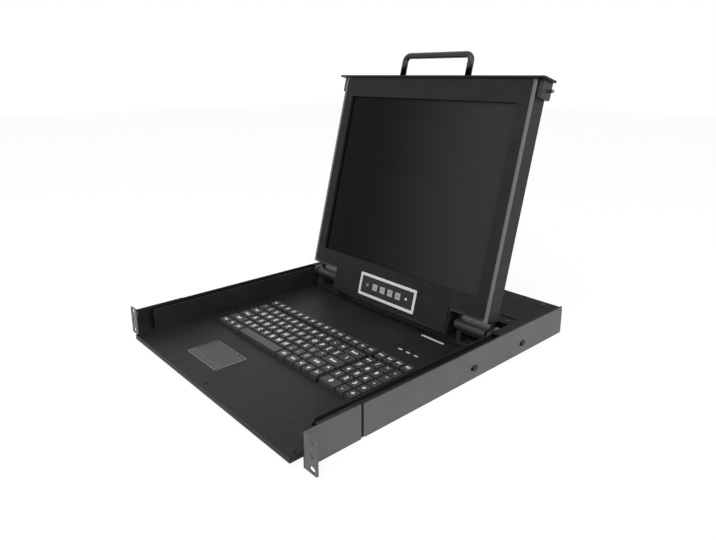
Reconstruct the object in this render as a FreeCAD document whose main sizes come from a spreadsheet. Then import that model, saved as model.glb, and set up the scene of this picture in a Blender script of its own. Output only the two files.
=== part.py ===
import FreeCAD, Part
import math
import os
import re

import Sketcher
from FreeCAD import Placement, Rotation, Vector

# Rack-mounted console drawer, one rack unit high: a fixed frame with ears, a drawer on three-part
# ball slides that carries the keyboard, and a lid with a flat screen that folds down over it.
# +X is the drawer's right, +Y runs into the rack and +Z is up. The origin is the centre of the
# ears' slot pattern, on the front face of the ears. Lengths are in millimetres.

doc = FreeCAD.newDocument("console_drawer")
sheet = doc.addObject("Spreadsheet::Sheet", "dims")

# Driving dimensions. Heights of the frame and drawer count from the underside of the frame.
driving_dimensions = {
    # rack interface
    "unit_height": 43.7, "rack_width": 482.6, "slot_span": 465.1, "slot_rise": 31.75,
    "slot_width": 6.8, "slot_long": 10.3,
    # fixed frame
    "frame_depth": 510, "plate_half": 219.4, "plate_thick": 1.5, "bracket_thick": 2,
    "ear_leg": 79, "bracket_front": 82, "bracket_low": 3, "bracket_high": 30,
    "screw_height": 16, "screw_front": 285, "screw_back": 400, "flange_reach": 206,
    "keeper_reach": 211.5, "keeper_low": 35.8, "keeper_high": 41.9,
    "tie_width": 24, "front_tie": 60, "back_tie": 470,
    # ball slides
    "slide_front": 24, "slide_back": 460, "slide_low": 4, "slide_high": 39, "slide_thick": 1.2,
    "slide_tip": 207.5, "race_gap": 2.6, "inner_gap": 2.8, "web_gap": 0.9,
    "cage_front": 130, "cage_back": 350, "cage_thick": 0.5, "ball_margin": 10,
    # drawer tray
    "sheet_thick": 1.2, "tray_half": 205.2, "tray_low": 2, "tray_front": -9, "tray_back": 506,
    "lip_height": 9.6, "wall_start": 22, "wall_top": 42.4,
    "deck_half": 203.6, "deck_top": 7, "deck_back": 334,
    "cover_front": 387, "wing_front": 345, "wing_half": 217.4,
    "cover_slot_across": 188, "cover_slot_along": 409, "cover_slot_long": 28, "cover_slot_width": 3.8,
    # keyboard and pointing pad
    "key_unit": 17.3, "key_row": 18.3, "key_gap": 1.5, "key_left": -166.5, "key_front": 112,
    "key_low": 6.5, "key_high": 14.6, "key_slope": 8, "well_half": 168, "well_margin": 2,
    "function_gap": 4.5, "pad_left": -104, "pad_right": -25, "pad_front": 42, "pad_back": 77,
    "pad_button": 11.5, "pad_gap": 0.5,
    # lamps in the deck
    "lock_first": 101.5, "lock_pitch": 15.5, "lock_along": 265, "lock_long": 8, "lock_width": 3,
    "status_middle": 111.5, "status_along": 325, "status_long": 45, "status_width": 4.4,
    # hinge
    "hinge_depth": 355.3, "hinge_height": 38.1, "pin_radius": 3, "eye_radius": 5.6,
    "block_front": 341, "block_back": 369, "nose_radius": 8, "block_inner": 138.2, "block_outer": 203.5,
    "arm_thick": 3.5, "arm_gap": 0.4, "arm_outer": 197.3, "arm_reach": 70,
    # lid, measured from the hinge axis: up the lid, and out of the screen
    "lid_tilt": 14.4, "lid_half": 200, "lid_foot": 15, "lid_head": 363.2,
    "lid_back": -5.6, "rim_face": 20.8, "bezel_face": 22.8, "rim_width": 16,
    "tab_half": 134, "tab_foot": -22.5, "bezel_inset": 11.5,
    "screen_half": 168.95, "screen_low": 55.5, "screen_tall": 270.3,
    "glass_face": 18.3, "glass_thick": 1.8, "module_thick": 12.2, "module_recess": 1,
    "driver_half": 100, "driver_low": -14, "driver_high": 32, "driver_post": 6,
    # front panel, handle and latches
    "panel_thick": 3, "panel_half": 213.5, "panel_edge": 27,
    "handle_half": 67.5, "handle_rise": 41, "handle_radius": 4.5, "handle_bend": 10,
    "handle_level": 10, "latch_up": 351, "latch_out": 0, "latch_tip": 215.5, "bolt_radius": 2.5,
    "housing_end": 184.5, "housing_wall": 1.5, "thumb_middle": 200, "spring_radius": 3.1,
    "spring_wire": 0.4,
    # screen control panel
    "control_half": 65, "control_tall": 39, "control_middle": 6.9, "control_trim": 3.5,
    "button_size": 11, "button_pitch": 18, "button_flange": 0.8, "lamp_radius": 1.4,
    "peg_half": 52, "peg_low": -3, "peg_high": 17, "peg_long": 4.7, "switch_board_half": 58,
    # rear connectors
    "inlet_middle": 150, "inlet_height": 23, "inlet_deep": 24, "switch_middle": 180, "axle_radius": 1.5,
    "port_middle": -40, "port_height": 17.6, "port_deep": 14, "data_first": 36, "data_second": 60,
    "vent_first": 20, "vent_long": 22, "vent_width": 3, "vent_run": 84,
    # rear electronics
    "power_left": 76, "power_right": 196, "power_front": 396, "power_back": 476, "power_top": 36,
    "board_left": -180, "board_right": 56, "board_front": 396, "board_back": 500, "board_top": 10.8,
    "board_thick": 1.6, "sink_left": -96, "sink_side": 40, "sink_front": 424, "fin_high": 14,
}
for line, (alias, value) in enumerate(driving_dimensions.items(), start=1):
    sheet.set("A%d" % line, alias)
    sheet.set("B%d" % line, str(value))
    sheet.setAlias("B%d" % line, alias)
doc.recompute()

pieces = []


# ---------------------------------------------------------------- working methods

def bound(text):
    """A size written in plain words, such as 'tray_half - sheet_thick', as a sheet expression."""
    return re.sub(r"\b[a-z]\w*", lambda word: "dims." + word.group(), str(text))


def size(text):
    """The present value of a size written in plain words."""
    return float(sheet.evalExpression(bound(text)))


def new_body(label, on_lid=False):
    """An empty body, placed with the frame and drawer or square to the raised lid."""
    body = doc.addObject("PartDesign::Body", label)
    body.Label = label
    body.AllowCompound = True
    if on_lid:
        body.Placement = Placement(Vector(), Rotation(Vector(1, 0, 0), 75))
        body.setExpression("Placement.Base.y", bound("hinge_depth"))
        body.setExpression("Placement.Base.z", bound("hinge_height - unit_height / 2"))
        body.setExpression("Placement.Rotation.Angle", bound("90 - lid_tilt"))
    else:
        body.setExpression("Placement.Base.z", bound("0 - unit_height / 2"))
    return body


def new_piece(label, on_lid=False):
    """A body that is a sub-part of its own."""
    body = new_body(label, on_lid)
    pieces.append(body)
    return body


def mirrored(source, label):
    """The left-hand twin of a right-hand piece."""
    twin = doc.addObject("Part::Mirroring", label)
    twin.Label = label
    twin.Source = source
    twin.Normal = Vector(1, 0, 0)
    return twin


def left_hand(source, label):
    """The left-hand twin as a sub-part of its own."""
    pieces.append(mirrored(source, label))


def both_hands(source, label):
    """A right-hand body and its left-hand twin as one sub-part."""
    pair = doc.addObject("Part::Compound", label)
    pair.Label = label
    pair.Links = [source, mirrored(source, source.Label + "_twin")]
    pieces.append(pair)


def origin_feature(body, role):
    return [feature for feature in body.Origin.OriginFeatures if feature.Role == role][0]


def pin_point(sketch, line, end, across, along):
    """Fix one point of a sketch line at a named distance from the sketch's origin."""
    for kind, place in (("DistanceX", across), ("DistanceY", along)):
        number = sketch.addConstraint(Sketcher.Constraint(kind, -1, 1, line, end, size(place)))
        sketch.setExpression("Constraints[%d]" % number, bound(place))


def polygon(corners):
    """A closed outline through corners given as pairs of sizes."""
    def draw(sketch):
        spots = [Vector(size(across), size(along), 0) for across, along in corners]
        lines = [sketch.addGeometry(Part.LineSegment(spots[i - 1], spots[i]), False)
                 for i in range(len(spots))]
        for i, line in enumerate(lines):
            sketch.addConstraint(Sketcher.Constraint("Coincident", lines[i - 1], 2, line, 1))
            pin_point(sketch, line, 2, *corners[i])
    return draw


def rect(left, right, low, high):
    return polygon([(left, low), (right, low), (right, high), (left, high)])


def circle(across, along, radius):
    def draw(sketch):
        middle = Vector(size(across), size(along), 0)
        ring = sketch.addGeometry(Part.Circle(middle, Vector(0, 0, 1), size(radius)), False)
        pin_point(sketch, ring, 3, across, along)
        number = sketch.addConstraint(Sketcher.Constraint("Radius", ring, size(radius)))
        sketch.setExpression("Constraints[%d]" % number, bound(radius))
    return draw


def slot(across, along, length, width, upright=False):
    """A slot with round ends, lying along the sketch's first axis or standing along its second."""
    def draw(sketch):
        reach = "((%s) - (%s)) / 2" % (length, width)
        radius = size("(%s) / 2" % width)
        turn = 90 if upright else 0
        arcs = []
        for sign, start in (("+", -90), ("-", 90)):
            spot = ((across, "(%s) %s %s" % (along, sign, reach)) if upright
                    else ("(%s) %s %s" % (across, sign, reach), along))
            ring = Part.Circle(Vector(size(spot[0]), size(spot[1]), 0), Vector(0, 0, 1), radius)
            first = math.radians(start + turn)
            arcs.append(sketch.addGeometry(Part.ArcOfCircle(ring, first, first + math.pi), False))
            pin_point(sketch, arcs[-1], 3, *spot)
            number = sketch.addConstraint(Sketcher.Constraint("Radius", arcs[-1], radius))
            sketch.setExpression("Constraints[%d]" % number, bound("(%s) / 2" % width))
        for here, there in (arcs, arcs[::-1]):
            ends = [sketch.Geometry[here].EndPoint, sketch.Geometry[there].StartPoint]
            side = sketch.addGeometry(Part.LineSegment(*ends), False)
            sketch.addConstraint(Sketcher.Constraint("Tangent", here, 2, side, 1))
            sketch.addConstraint(Sketcher.Constraint("Tangent", side, 2, there, 1))
    return draw


def channel(web, tip, low, high, thick):
    """The C section of a rolled member: an upright web and two flanges that reach to the tip."""
    inward = "-" if size(tip) < size(web) else "+"
    inside = "(%s) %s (%s)" % (web, inward, thick)
    return polygon([(tip, low), (web, low), (web, high), (tip, high),
                    (tip, "(%s) - (%s)" % (high, thick)), (inside, "(%s) - (%s)" % (high, thick)),
                    (inside, "(%s) + (%s)" % (low, thick)), (tip, "(%s) + (%s)" % (low, thick))])


def new_sketch(body, face, level, outlines):
    """A sketch on one of the body's own planes, moved out to a named level."""
    sketch = body.newObject("Sketcher::SketchObject", body.Label + "_sketch")
    sketch.AttachmentSupport = [(origin_feature(body, face + "_Plane"), "")]
    sketch.MapMode = "FlatFace"
    away = "0 - (%s)" if face == "XZ" else "%s"
    sketch.setExpression("AttachmentOffset.Base.z", bound(away % level))
    for outline in outlines:
        outline(sketch)
    return sketch


def add_slab(body, face, low, high, *outlines, slope=None):
    """Pad outlines between two levels. A slope in degrees narrows the pad as it rises."""
    sketch = new_sketch(body, face, high if face == "XZ" else low, outlines)
    pad = body.newObject("PartDesign::Pad", body.Label + "_pad")
    pad.Profile = sketch
    pad.setExpression("Length", bound("(%s) - (%s)" % (high, low)))
    if slope:
        pad.setExpression("TaperAngle", bound("0 - (%s)" % slope))
    return pad


def cut_slab(body, face, low, high, *outlines):
    """Pocket outlines between two levels."""
    sketch = new_sketch(body, face, low if face == "XZ" else high, outlines)
    pocket = body.newObject("PartDesign::Pocket", body.Label + "_pocket")
    pocket.Profile = sketch
    pocket.setExpression("Length", bound("(%s) - (%s)" % (high, low)))
    return pocket


def mirror_features(body, features):
    """Repeat features on the other side of the body's middle plane."""
    doc.recompute()
    twin = body.newObject("PartDesign::Mirrored", body.Label + "_mirror")
    twin.Originals = features
    twin.MirrorPlane = (origin_feature(body, "YZ_Plane"), [""])
    body.Tip = twin
    return twin


def repeat_features(body, features, axis, length, count):
    """Repeat features evenly along one of the body's axes."""
    doc.recompute()
    row = body.newObject("PartDesign::LinearPattern", body.Label + "_row")
    row.Originals = features
    row.Direction = (origin_feature(body, axis + "_Axis"), [""])
    row.setExpression("Length", bound(length))
    row.Occurrences = count
    body.Tip = row
    return row


def round_edges(body, radius, axis, **where):
    """Fillet the straight edges along an axis whose middle lies at the named places."""
    doc.recompute()
    base = body.Tip
    names = []
    for number, edge in enumerate(base.Shape.Edges, start=1):
        direction = edge.valueAt(edge.LastParameter) - edge.valueAt(edge.FirstParameter)
        middle = edge.CenterOfMass
        straight = edge.Curve.TypeId == "Part::GeomLine"
        if not straight or abs(getattr(direction, axis)) < 0.999 * direction.Length:
            continue
        if all(any(abs(getattr(middle, name) - size(place)) < 0.01 for place in places)
               for name, places in where.items()):
            names.append("Edge%d" % number)
    fillet = body.newObject("PartDesign::Fillet", body.Label + "_fillet")
    fillet.Base = (base, names)
    fillet.setExpression("Radius", bound(radius))
    return fillet


# ---------------------------------------------------------------- fixed frame

# Side plate: folded steel, with a flange under the drawer, a keeper tab that the latch bolt
# hooks behind, and a turned-in rear edge.
side_plate = new_piece("side_plate_right")
inner_face = "plate_half - plate_thick"
add_slab(side_plate, "YZ", inner_face, "plate_half", rect("0", "frame_depth", "0", "unit_height"))
add_slab(side_plate, "XY", "0", "sheet_thick",
         rect("flange_reach", inner_face, "slide_front", "frame_depth"))
add_slab(side_plate, "XZ", "0", "plate_thick",
         rect("keeper_reach", inner_face, "keeper_low", "keeper_high"))
add_slab(side_plate, "XZ", "frame_depth - plate_thick", "frame_depth",
         rect("plate_half - 10", inner_face, "sheet_thick", "wall_top - 1"))
cut_slab(side_plate, "YZ", inner_face, "plate_half",
         circle("screw_front", "screw_height", "2.5"), circle("screw_back", "screw_height", "2.5"))
left_hand(side_plate, "side_plate_left")

# Ear bracket: an L of thicker steel. The ear has two slots and a middle hole for rack screws.
ear = new_piece("ear_bracket_right")
ear_edge = "rack_width / 2"
add_slab(ear, "YZ", "plate_half", "plate_half + bracket_thick", rect("0", "ear_leg", "0", "unit_height"))
add_slab(ear, "XZ", "0", "bracket_thick", rect("plate_half", ear_edge, "0", "unit_height"))
cut_slab(ear, "XZ", "0", "bracket_thick",
         slot("slot_span / 2", "(unit_height + slot_rise) / 2", "slot_long", "slot_width"),
         slot("slot_span / 2", "(unit_height - slot_rise) / 2", "slot_long", "slot_width"),
         circle("slot_span / 2", "unit_height / 2", "slot_width / 2"))
round_edges(ear, "2.5", "y", x=[ear_edge], z=["0", "unit_height"])
round_edges(ear, "1.5", "z", x=["plate_half + bracket_thick"], y=["bracket_thick"])
left_hand(ear, "ear_bracket_left")

# Rear bracket: a flat bar on the outside of the side plate, slotted for its two screws.
rear_bracket = new_piece("rear_bracket_right")
add_slab(rear_bracket, "YZ", "plate_half", "plate_half + bracket_thick",
         rect("bracket_front", "frame_depth - 2", "bracket_low", "bracket_high"))
cut_slab(rear_bracket, "YZ", "plate_half", "plate_half + bracket_thick",
         slot("screw_front", "screw_height", "16", "5.2"),
         slot("screw_back", "screw_height", "16", "5.2"))
round_edges(rear_bracket, "3", "x", y=["bracket_front", "frame_depth - 2"],
            z=["bracket_low", "bracket_high"])
left_hand(rear_bracket, "rear_bracket_left")

# Pan-head screws that hold the rear brackets.
screws = new_body("bracket_screw_pair")
screw_spots = ("screw_front", "screw_back")
add_slab(screws, "YZ", "plate_half - 1.4", "plate_half + bracket_thick",
         *[circle(spot, "screw_height", "2.4") for spot in screw_spots])
add_slab(screws, "YZ", "plate_half + bracket_thick", "plate_half + bracket_thick + 1.4",
         *[circle(spot, "screw_height", "4.4") for spot in screw_spots])
both_hands(screws, "bracket_screws")

# Two flat ties join the side plates under the drawer.
ties = new_piece("cross_ties")
add_slab(ties, "XY", "0", "sheet_thick",
         *[rect("0 - flange_reach", "flange_reach", place, place + " + tie_width")
           for place in ("front_tie", "back_tie")])


# ---------------------------------------------------------------- ball slides

# Three rolled channels inside each other. Caged balls run between their flanges.
def slide_member(label, web, tip, low, high):
    member = new_body(label)
    add_slab(member, "XZ", "slide_front", "slide_back", channel(web, tip, low, high, "slide_thick"))
    both_hands(member, label + "_members")


middle_low = "slide_low + slide_thick + race_gap"
middle_high = "slide_high - slide_thick - race_gap"
inner_low = middle_low + " + slide_thick + inner_gap"
inner_high = middle_high + " - slide_thick - inner_gap"
slide_member("slide_outer", inner_face, "slide_tip", "slide_low", "slide_high")
slide_member("slide_middle", inner_face + " - slide_thick - web_gap", "slide_tip", middle_low, middle_high)
slide_member("slide_inner", "tray_half", "tray_half + 8", inner_low, inner_high)


# Ball cage: a thin channel with its balls held half way through both flanges.
def ball_cage(label, web, tip, low, high, radius):
    cage = new_body(label)
    half = "cage_thick / 2"
    add_slab(cage, "XZ", "cage_front", "cage_back",
             channel(web, tip, "(%s) - %s" % (low, half), "(%s) + %s" % (high, half), "cage_thick"))
    doc.recompute()
    balls = []
    for level in (low, high):
        ball = cage.newObject("PartDesign::AdditiveSphere", label + "_ball")
        ball.AttachmentSupport = [(origin_feature(cage, "XY_Plane"), "")]
        ball.MapMode = "FlatFace"
        ball.setExpression("Radius", bound(radius))
        ball.setExpression("AttachmentOffset.Base.x", bound("(%s) + 2.5" % tip))
        ball.setExpression("AttachmentOffset.Base.y", bound("cage_front + ball_margin"))
        ball.setExpression("AttachmentOffset.Base.z", bound(level))
        balls.append(ball)
    repeat_features(cage, balls, "Y", "cage_back - cage_front - 2 * ball_margin", 5)
    both_hands(cage, label + "s")


ball_cage("outer_ball_cage", inner_face + " - slide_thick - 0.2", "slide_tip + 1.5",
          "slide_low + slide_thick + race_gap / 2", "slide_high - slide_thick - race_gap / 2",
          "race_gap / 2 - 0.05")
ball_cage("inner_ball_cage", inner_face + " - 2 * slide_thick - 1.2", "slide_tip + 0.5",
          middle_low + " + slide_thick + inner_gap / 2",
          middle_high + " - slide_thick - inner_gap / 2", "inner_gap / 2 - 0.05")


# ---------------------------------------------------------------- drawer

# Tray: folded sheet steel. The low front lip leaves room for the lid's front panel, and the
# side walls step down at the front for the latches.
tray = new_piece("tray_pan")
floor_top = "tray_low + sheet_thick"
add_slab(tray, "XY", "tray_low", floor_top, rect("0 - tray_half", "tray_half", "tray_front", "tray_back"))
add_slab(tray, "XZ", "tray_front", "tray_front + sheet_thick",
         rect("0 - tray_half", "tray_half", "tray_low", "lip_height"))
tray_wall = add_slab(tray, "YZ", "tray_half - sheet_thick", "tray_half",
                     polygon([("tray_front", "tray_low"), ("tray_back", "tray_low"),
                              ("tray_back", "wall_top"), ("wall_start + 5", "wall_top"),
                              ("wall_start", "wall_top - 5"), ("wall_start", "lip_height"),
                              ("tray_front", "lip_height")]))
mirror_features(tray, [tray_wall])

# Deck: an inverted shallow pan over the tray's floor, cut out for the keyboard, the pointing pad
# with its two buttons, and the indicator windows.
deck = new_piece("deck_plate")
deck_front = "tray_front + sheet_thick + 0.2"
deck_under = "deck_top - sheet_thick"
add_slab(deck, "XY", floor_top, "deck_top", rect("0 - deck_half", "deck_half", deck_front, "deck_back"))
cut_slab(deck, "XY", floor_top, deck_under,
         rect("sheet_thick - deck_half", "deck_half - sheet_thick",
              deck_front + " + sheet_thick", "deck_back - sheet_thick"))
well_front = "key_front - well_margin"
well_back = "key_front + 6 * key_row + function_gap + well_margin"
lock_lamps = ["lock_first + %d * lock_pitch" % step for step in range(3)]


def lamp_windows(gap):
    """Outlines of the lock lamps' windows and the status bar, each a little larger by the gap."""
    return ([slot(across, "lock_along", "lock_long + " + gap, "lock_width + " + gap)
             for across in lock_lamps]
            + [slot("status_middle", "status_along", "status_long + " + gap, "status_width + " + gap)])


cut_slab(deck, "XY", deck_under, "deck_top",
         rect("0 - well_half", "well_half", well_front, well_back),
         rect("pad_left - 0.4", "pad_right + 0.4", "pad_front - pad_button - 0.9", "pad_back + 0.4"),
         *lamp_windows("0.4"))
round_edges(deck, "4", "z", x=["0 - well_half", "well_half"], y=[well_front, well_back])

# Keyboard base: a moulded pan that fills the deck's well. The keys work over its floor.
base = new_piece("keyboard_base")
add_slab(base, "XY", floor_top, "deck_top + 0.6",
         rect("0.2 - well_half", "well_half - 0.2", well_front + " + 0.2", well_back + " - 0.2"))
cut_slab(base, "XY", floor_top + " + sheet_thick", "deck_top + 0.6",
         rect("1.6 - well_half", "well_half - 1.6", well_front + " + 1.4", well_back + " - 1.4"))
round_edges(base, "3.8", "z", x=["0.2 - well_half", "well_half - 0.2"],
            y=[well_front + " + 0.2", well_back + " - 0.2"])

# Key widths in key units, from the left. Each row is 15 units, then a quarter unit of space and
# the four units of the number pad.
key_rows = {
    "space_row": ([1.25, 1, 1.25, 6, 1.25, 1.25, 1, 1, 1], [2, 1, 1]),
    "lower_row": ([2.25] + [1] * 10 + [1.75, 1], [1, 1, 1, 1]),
    "home_row": ([1.75] + [1] * 11 + [2.25], [1, 1, 1, 1]),
    "upper_row": ([1.5] + [1] * 12 + [1.5], [1, 1, 1, 1]),
    "number_row": ([1] * 13 + [2], [1, 1, 1, 1]),
    "function_row": ([1] * 15, [1, 1, 1, 1]),
}
for level, (name, (main_block, number_pad)) in enumerate(key_rows.items()):
    caps = new_piece("keys_" + name)
    row_front = "key_front + %d * key_row" % level
    if name == "function_row":
        row_front += " + function_gap"
    outlines = []
    for start, widths in ((0, main_block), (15.25, number_pad)):
        for width in widths:
            outlines.append(rect("key_left + %s * key_unit + key_gap / 2" % start,
                                 "key_left + %s * key_unit - key_gap / 2" % (start + width),
                                 row_front + " + key_gap / 2",
                                 row_front + " + key_row - key_gap / 2"))
            start += width
    add_slab(caps, "XY", "key_low", "key_high", *outlines, slope="key_slope")

# Pointing pad and its two buttons.
pointing_pad = new_piece("touchpad")
add_slab(pointing_pad, "XY", floor_top, "deck_top - 0.4",
         rect("pad_left", "pad_right", "pad_front", "pad_back"))
round_edges(pointing_pad, "1.5", "z", x=["pad_left", "pad_right"], y=["pad_back"])
pad_middle = "(pad_left + pad_right) / 2"
for name, left, right in (("left", "pad_left", pad_middle + " - 0.3"),
                          ("right", pad_middle + " + 0.3", "pad_right")):
    button = new_piece("touchpad_button_" + name)
    add_slab(button, "XY", "deck_top - 2", "deck_top + 0.4",
             rect(left, right, "pad_front - pad_button - pad_gap", "pad_front - pad_gap"))

# Indicator windows: three lock lamps and one status bar, clear plastic set in the deck.
windows = new_piece("indicator_windows")
add_slab(windows, "XY", "deck_top - 2", "deck_top + 0.2", *lamp_windows("0"))

# Rear cover: the lid of the electronics bay. Its wings close the gap over the slides beside the
# hinges, and its front flange is the bay's bulkhead.
cover = new_piece("rear_cover")
cover_top = "wall_top + sheet_thick"
bay_half = "tray_half - sheet_thick"
add_slab(cover, "XY", "wall_top", cover_top,
         polygon([("wing_half", "wing_front"), ("wing_half", "tray_back"),
                  ("0 - wing_half", "tray_back"), ("0 - wing_half", "wing_front"),
                  ("0 - (%s)" % bay_half, "wing_front"), ("0 - (%s)" % bay_half, "cover_front"),
                  (bay_half, "cover_front"), (bay_half, "wing_front")]))
add_slab(cover, "XZ", "cover_front", "cover_front + sheet_thick",
         rect("0.2 - (%s)" % bay_half, bay_half + " - 0.2", floor_top, "wall_top"))
cover_slot = cut_slab(cover, "XY", "wall_top", cover_top,
                      slot("cover_slot_across", "cover_slot_along", "cover_slot_long", "cover_slot_width"))
mirror_features(cover, [cover_slot])

# Rear panel: vent slots, and cut-outs for the inlet, the screen plug and the two data ports.
panel = new_piece("rear_panel")
panel_face = "tray_back - sheet_thick"
add_slab(panel, "XZ", panel_face, "tray_back",
         rect("0.2 - (%s)" % bay_half, bay_half + " - 0.2", floor_top, "wall_top"))
cut_slab(panel, "XZ", panel_face, "tray_back",
         rect("inlet_middle - 15", "switch_middle + 10", "inlet_height - 11.3", "inlet_height + 11.3"),
         rect("port_middle - 9", "port_middle + 9", "port_height - 4.7", "port_height + 4.7"),
         *[circle("port_middle %s 12.5" % sign, "port_height", "2.9") for sign in "+-"],
         *[rect("port_middle - %s - 7" % away, "port_middle - %s + 7" % away,
                "board_top - 0.2", "board_top + 6.2") for away in ("data_first", "data_second")])
vent = cut_slab(panel, "XZ", panel_face, "tray_back",
                slot("vent_first", "unit_height / 2", "vent_long", "vent_width", True))
repeat_features(panel, [vent], "X", "vent_run", 13)


# ---------------------------------------------------------------- rear electronics

# Power unit: a closed metal case beside the inlet, with cooling slots in its lid.
power = new_piece("power_unit")
power_lid = "power_top - 2"
add_slab(power, "XY", floor_top, "power_top", rect("power_left", "power_right", "power_front", "power_back"))
power_slot = cut_slab(power, "XY", power_lid, "power_top",
                      slot("(power_left + power_right) / 2", "power_front + 10", "90", "3"))
repeat_features(power, [power_slot], "Y", "power_back - power_front - 20", 7)

# Main board on four standoffs, with its two largest chips and a finned heat sink.
board = new_piece("main_board")
board_under = "board_top - board_thick"
add_slab(board, "XY", board_under, "board_top", rect("board_left", "board_right", "board_front", "board_back"))
add_slab(board, "XY", floor_top, board_under,
         *[circle(across, along, "4") for across in ("board_left + 10", "board_right - 10")
           for along in ("board_front + 8", "board_back - 12")])
add_slab(board, "XY", "board_top", "board_top + 2.4",
         rect("board_left + 30", "board_left + 58", "sink_front + 6", "sink_front + 34"),
         rect("board_right - 76", "board_right - 56", "sink_front + 16", "sink_front + 36"))
add_slab(board, "XY", "board_top", "board_top + 3",
         rect("sink_left", "sink_left + sink_side", "sink_front", "sink_front + sink_side"))
fin = add_slab(board, "XY", "board_top + 3", "board_top + fin_high",
               rect("sink_left", "sink_left + 1.6", "sink_front", "sink_front + sink_side"))
repeat_features(board, [fin], "X", "sink_side - 1.6", 7)

# Power inlet: a moulded panel socket with three blades, and the well of its rocker switch.
inlet = new_piece("power_inlet")
socket_left, socket_right = "inlet_middle - 12", "inlet_middle + 12"
axle_depth = "tray_back - 3"
add_slab(inlet, "XZ", "tray_back - inlet_deep", "tray_back",
         rect("inlet_middle - 14.5", "switch_middle + 9.5", "inlet_height - 11", "inlet_height + 11"))
add_slab(inlet, "XZ", "tray_back", "tray_back + 2",
         rect("inlet_middle - 17", "switch_middle + 12", "inlet_height - 13", "inlet_height + 13"))
cut_slab(inlet, "XZ", "tray_back - 16", "tray_back + 2",
         polygon([(socket_left, "inlet_height - 8"), (socket_right, "inlet_height - 8"),
                  (socket_right, "inlet_height + 4"), ("inlet_middle + 8", "inlet_height + 8"),
                  ("inlet_middle - 8", "inlet_height + 8"), (socket_left, "inlet_height + 4")]))
cut_slab(inlet, "XZ", "tray_back - 12", "tray_back + 2",
         rect("switch_middle - 7", "switch_middle + 7", "inlet_height - 9.9", "inlet_height + 9.9"))
cut_slab(inlet, "YZ", "switch_middle - 8.5", "switch_middle + 8.5",
         circle(axle_depth, "inlet_height", "axle_radius + 0.05"))
blade_spots = ((-7, -2), (7, -2), (0, 2))
add_slab(inlet, "XZ", "tray_back - 16", "tray_back - 1",
         *[rect("inlet_middle + %d - 1" % across, "inlet_middle + %d + 1" % across,
                "inlet_height + %d - 2" % rise, "inlet_height + %d + 2" % rise)
           for across, rise in blade_spots])
round_edges(inlet, "2", "y", x=["inlet_middle - 17", "switch_middle + 12"],
            z=["inlet_height - 13", "inlet_height + 13"])

# Rocker: it turns on a cross axle, and its face has two flats that meet at the middle.
rocker = new_piece("power_switch")
add_slab(rocker, "YZ", "switch_middle - 6.5", "switch_middle + 6.5",
         polygon([("tray_back + 3.1", "inlet_height + 8"), ("tray_back + 1.4", "inlet_height"),
                  ("tray_back + 1.1", "inlet_height - 8"), ("tray_back - 3", "inlet_height - 6.6"),
                  ("tray_back - 8", "inlet_height - 2.4"), ("tray_back - 8", "inlet_height + 2.4"),
                  ("tray_back - 2", "inlet_height + 7.4")]))
add_slab(rocker, "YZ", "switch_middle - 8.3", "switch_middle + 8.3",
         circle(axle_depth, "inlet_height", "axle_radius"))

# Screen plug and two data ports: folded metal shells that stand on the main board.
ports = new_piece("signal_ports")
add_slab(ports, "XZ", "tray_back - 16", panel_face,
         rect("port_middle - 15.5", "port_middle + 15.5", "board_top", "port_height + 6.5"))
add_slab(ports, "XZ", panel_face, "tray_back + 3.4",
         polygon([("port_middle - 7.4", "port_height - 4.2"), ("port_middle + 7.4", "port_height - 4.2"),
                  ("port_middle + 8.6", "port_height + 4.2"), ("port_middle - 8.6", "port_height + 4.2")]),
         *[circle("port_middle %s 12.5" % sign, "port_height", "2.6") for sign in "+-"])
for away in ("data_first", "data_second"):
    port = "port_middle - %s" % away
    add_slab(ports, "XZ", "tray_back - port_deep", "tray_back + 1",
             rect(port + " - 6.6", port + " + 6.6", "board_top", "board_top + 5.8"))
    cut_slab(ports, "XZ", "tray_back - 12", "tray_back + 1",
             rect(port + " - 6", port + " + 6", "board_top + 0.5", "board_top + 5.3"))
    add_slab(ports, "XZ", "tray_back - 12.5", "tray_back",
             rect(port + " - 5", port + " + 5", "board_top + 2.9", "board_top + 4.8"))


# ---------------------------------------------------------------- hinge

# Hinge block: a cast block on the tray's floor that holds the pin. Its round nose overhangs the
# foot, and the outer hinge arm turns in the slot near its outer end.
block = new_piece("hinge_block_right")
slot_inner = "arm_outer - arm_thick - arm_gap"
nose_middle = "block_front + nose_radius"
add_slab(block, "YZ", "block_inner", "block_outer",
         rect(nose_middle, "block_back", floor_top, "unit_height"))
add_slab(block, "YZ", "block_inner", "block_outer",
         circle(nose_middle, "unit_height - nose_radius", "nose_radius"))
round_edges(block, "3", "x", y=["block_back"], z=["unit_height"])
cut_slab(block, "YZ", slot_inner, "arm_outer + arm_gap",
         rect("block_front", "block_back", "hinge_height - eye_radius - 1", "unit_height"))
cut_slab(block, "YZ", "block_inner", "block_outer", circle("hinge_depth", "hinge_height", "pin_radius"))
cut_slab(block, "XZ", nose_middle, "block_back",
         rect("block_inner + 8", slot_inner + " - 6", floor_top + " + 4", "hinge_height - 14"))
left_hand(block, "hinge_block_left")

pin = new_body("hinge_pin")
add_slab(pin, "YZ", "tab_half + 0.2", "block_outer", circle("hinge_depth", "hinge_height", "pin_radius"))
both_hands(pin, "hinge_pins")

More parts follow.
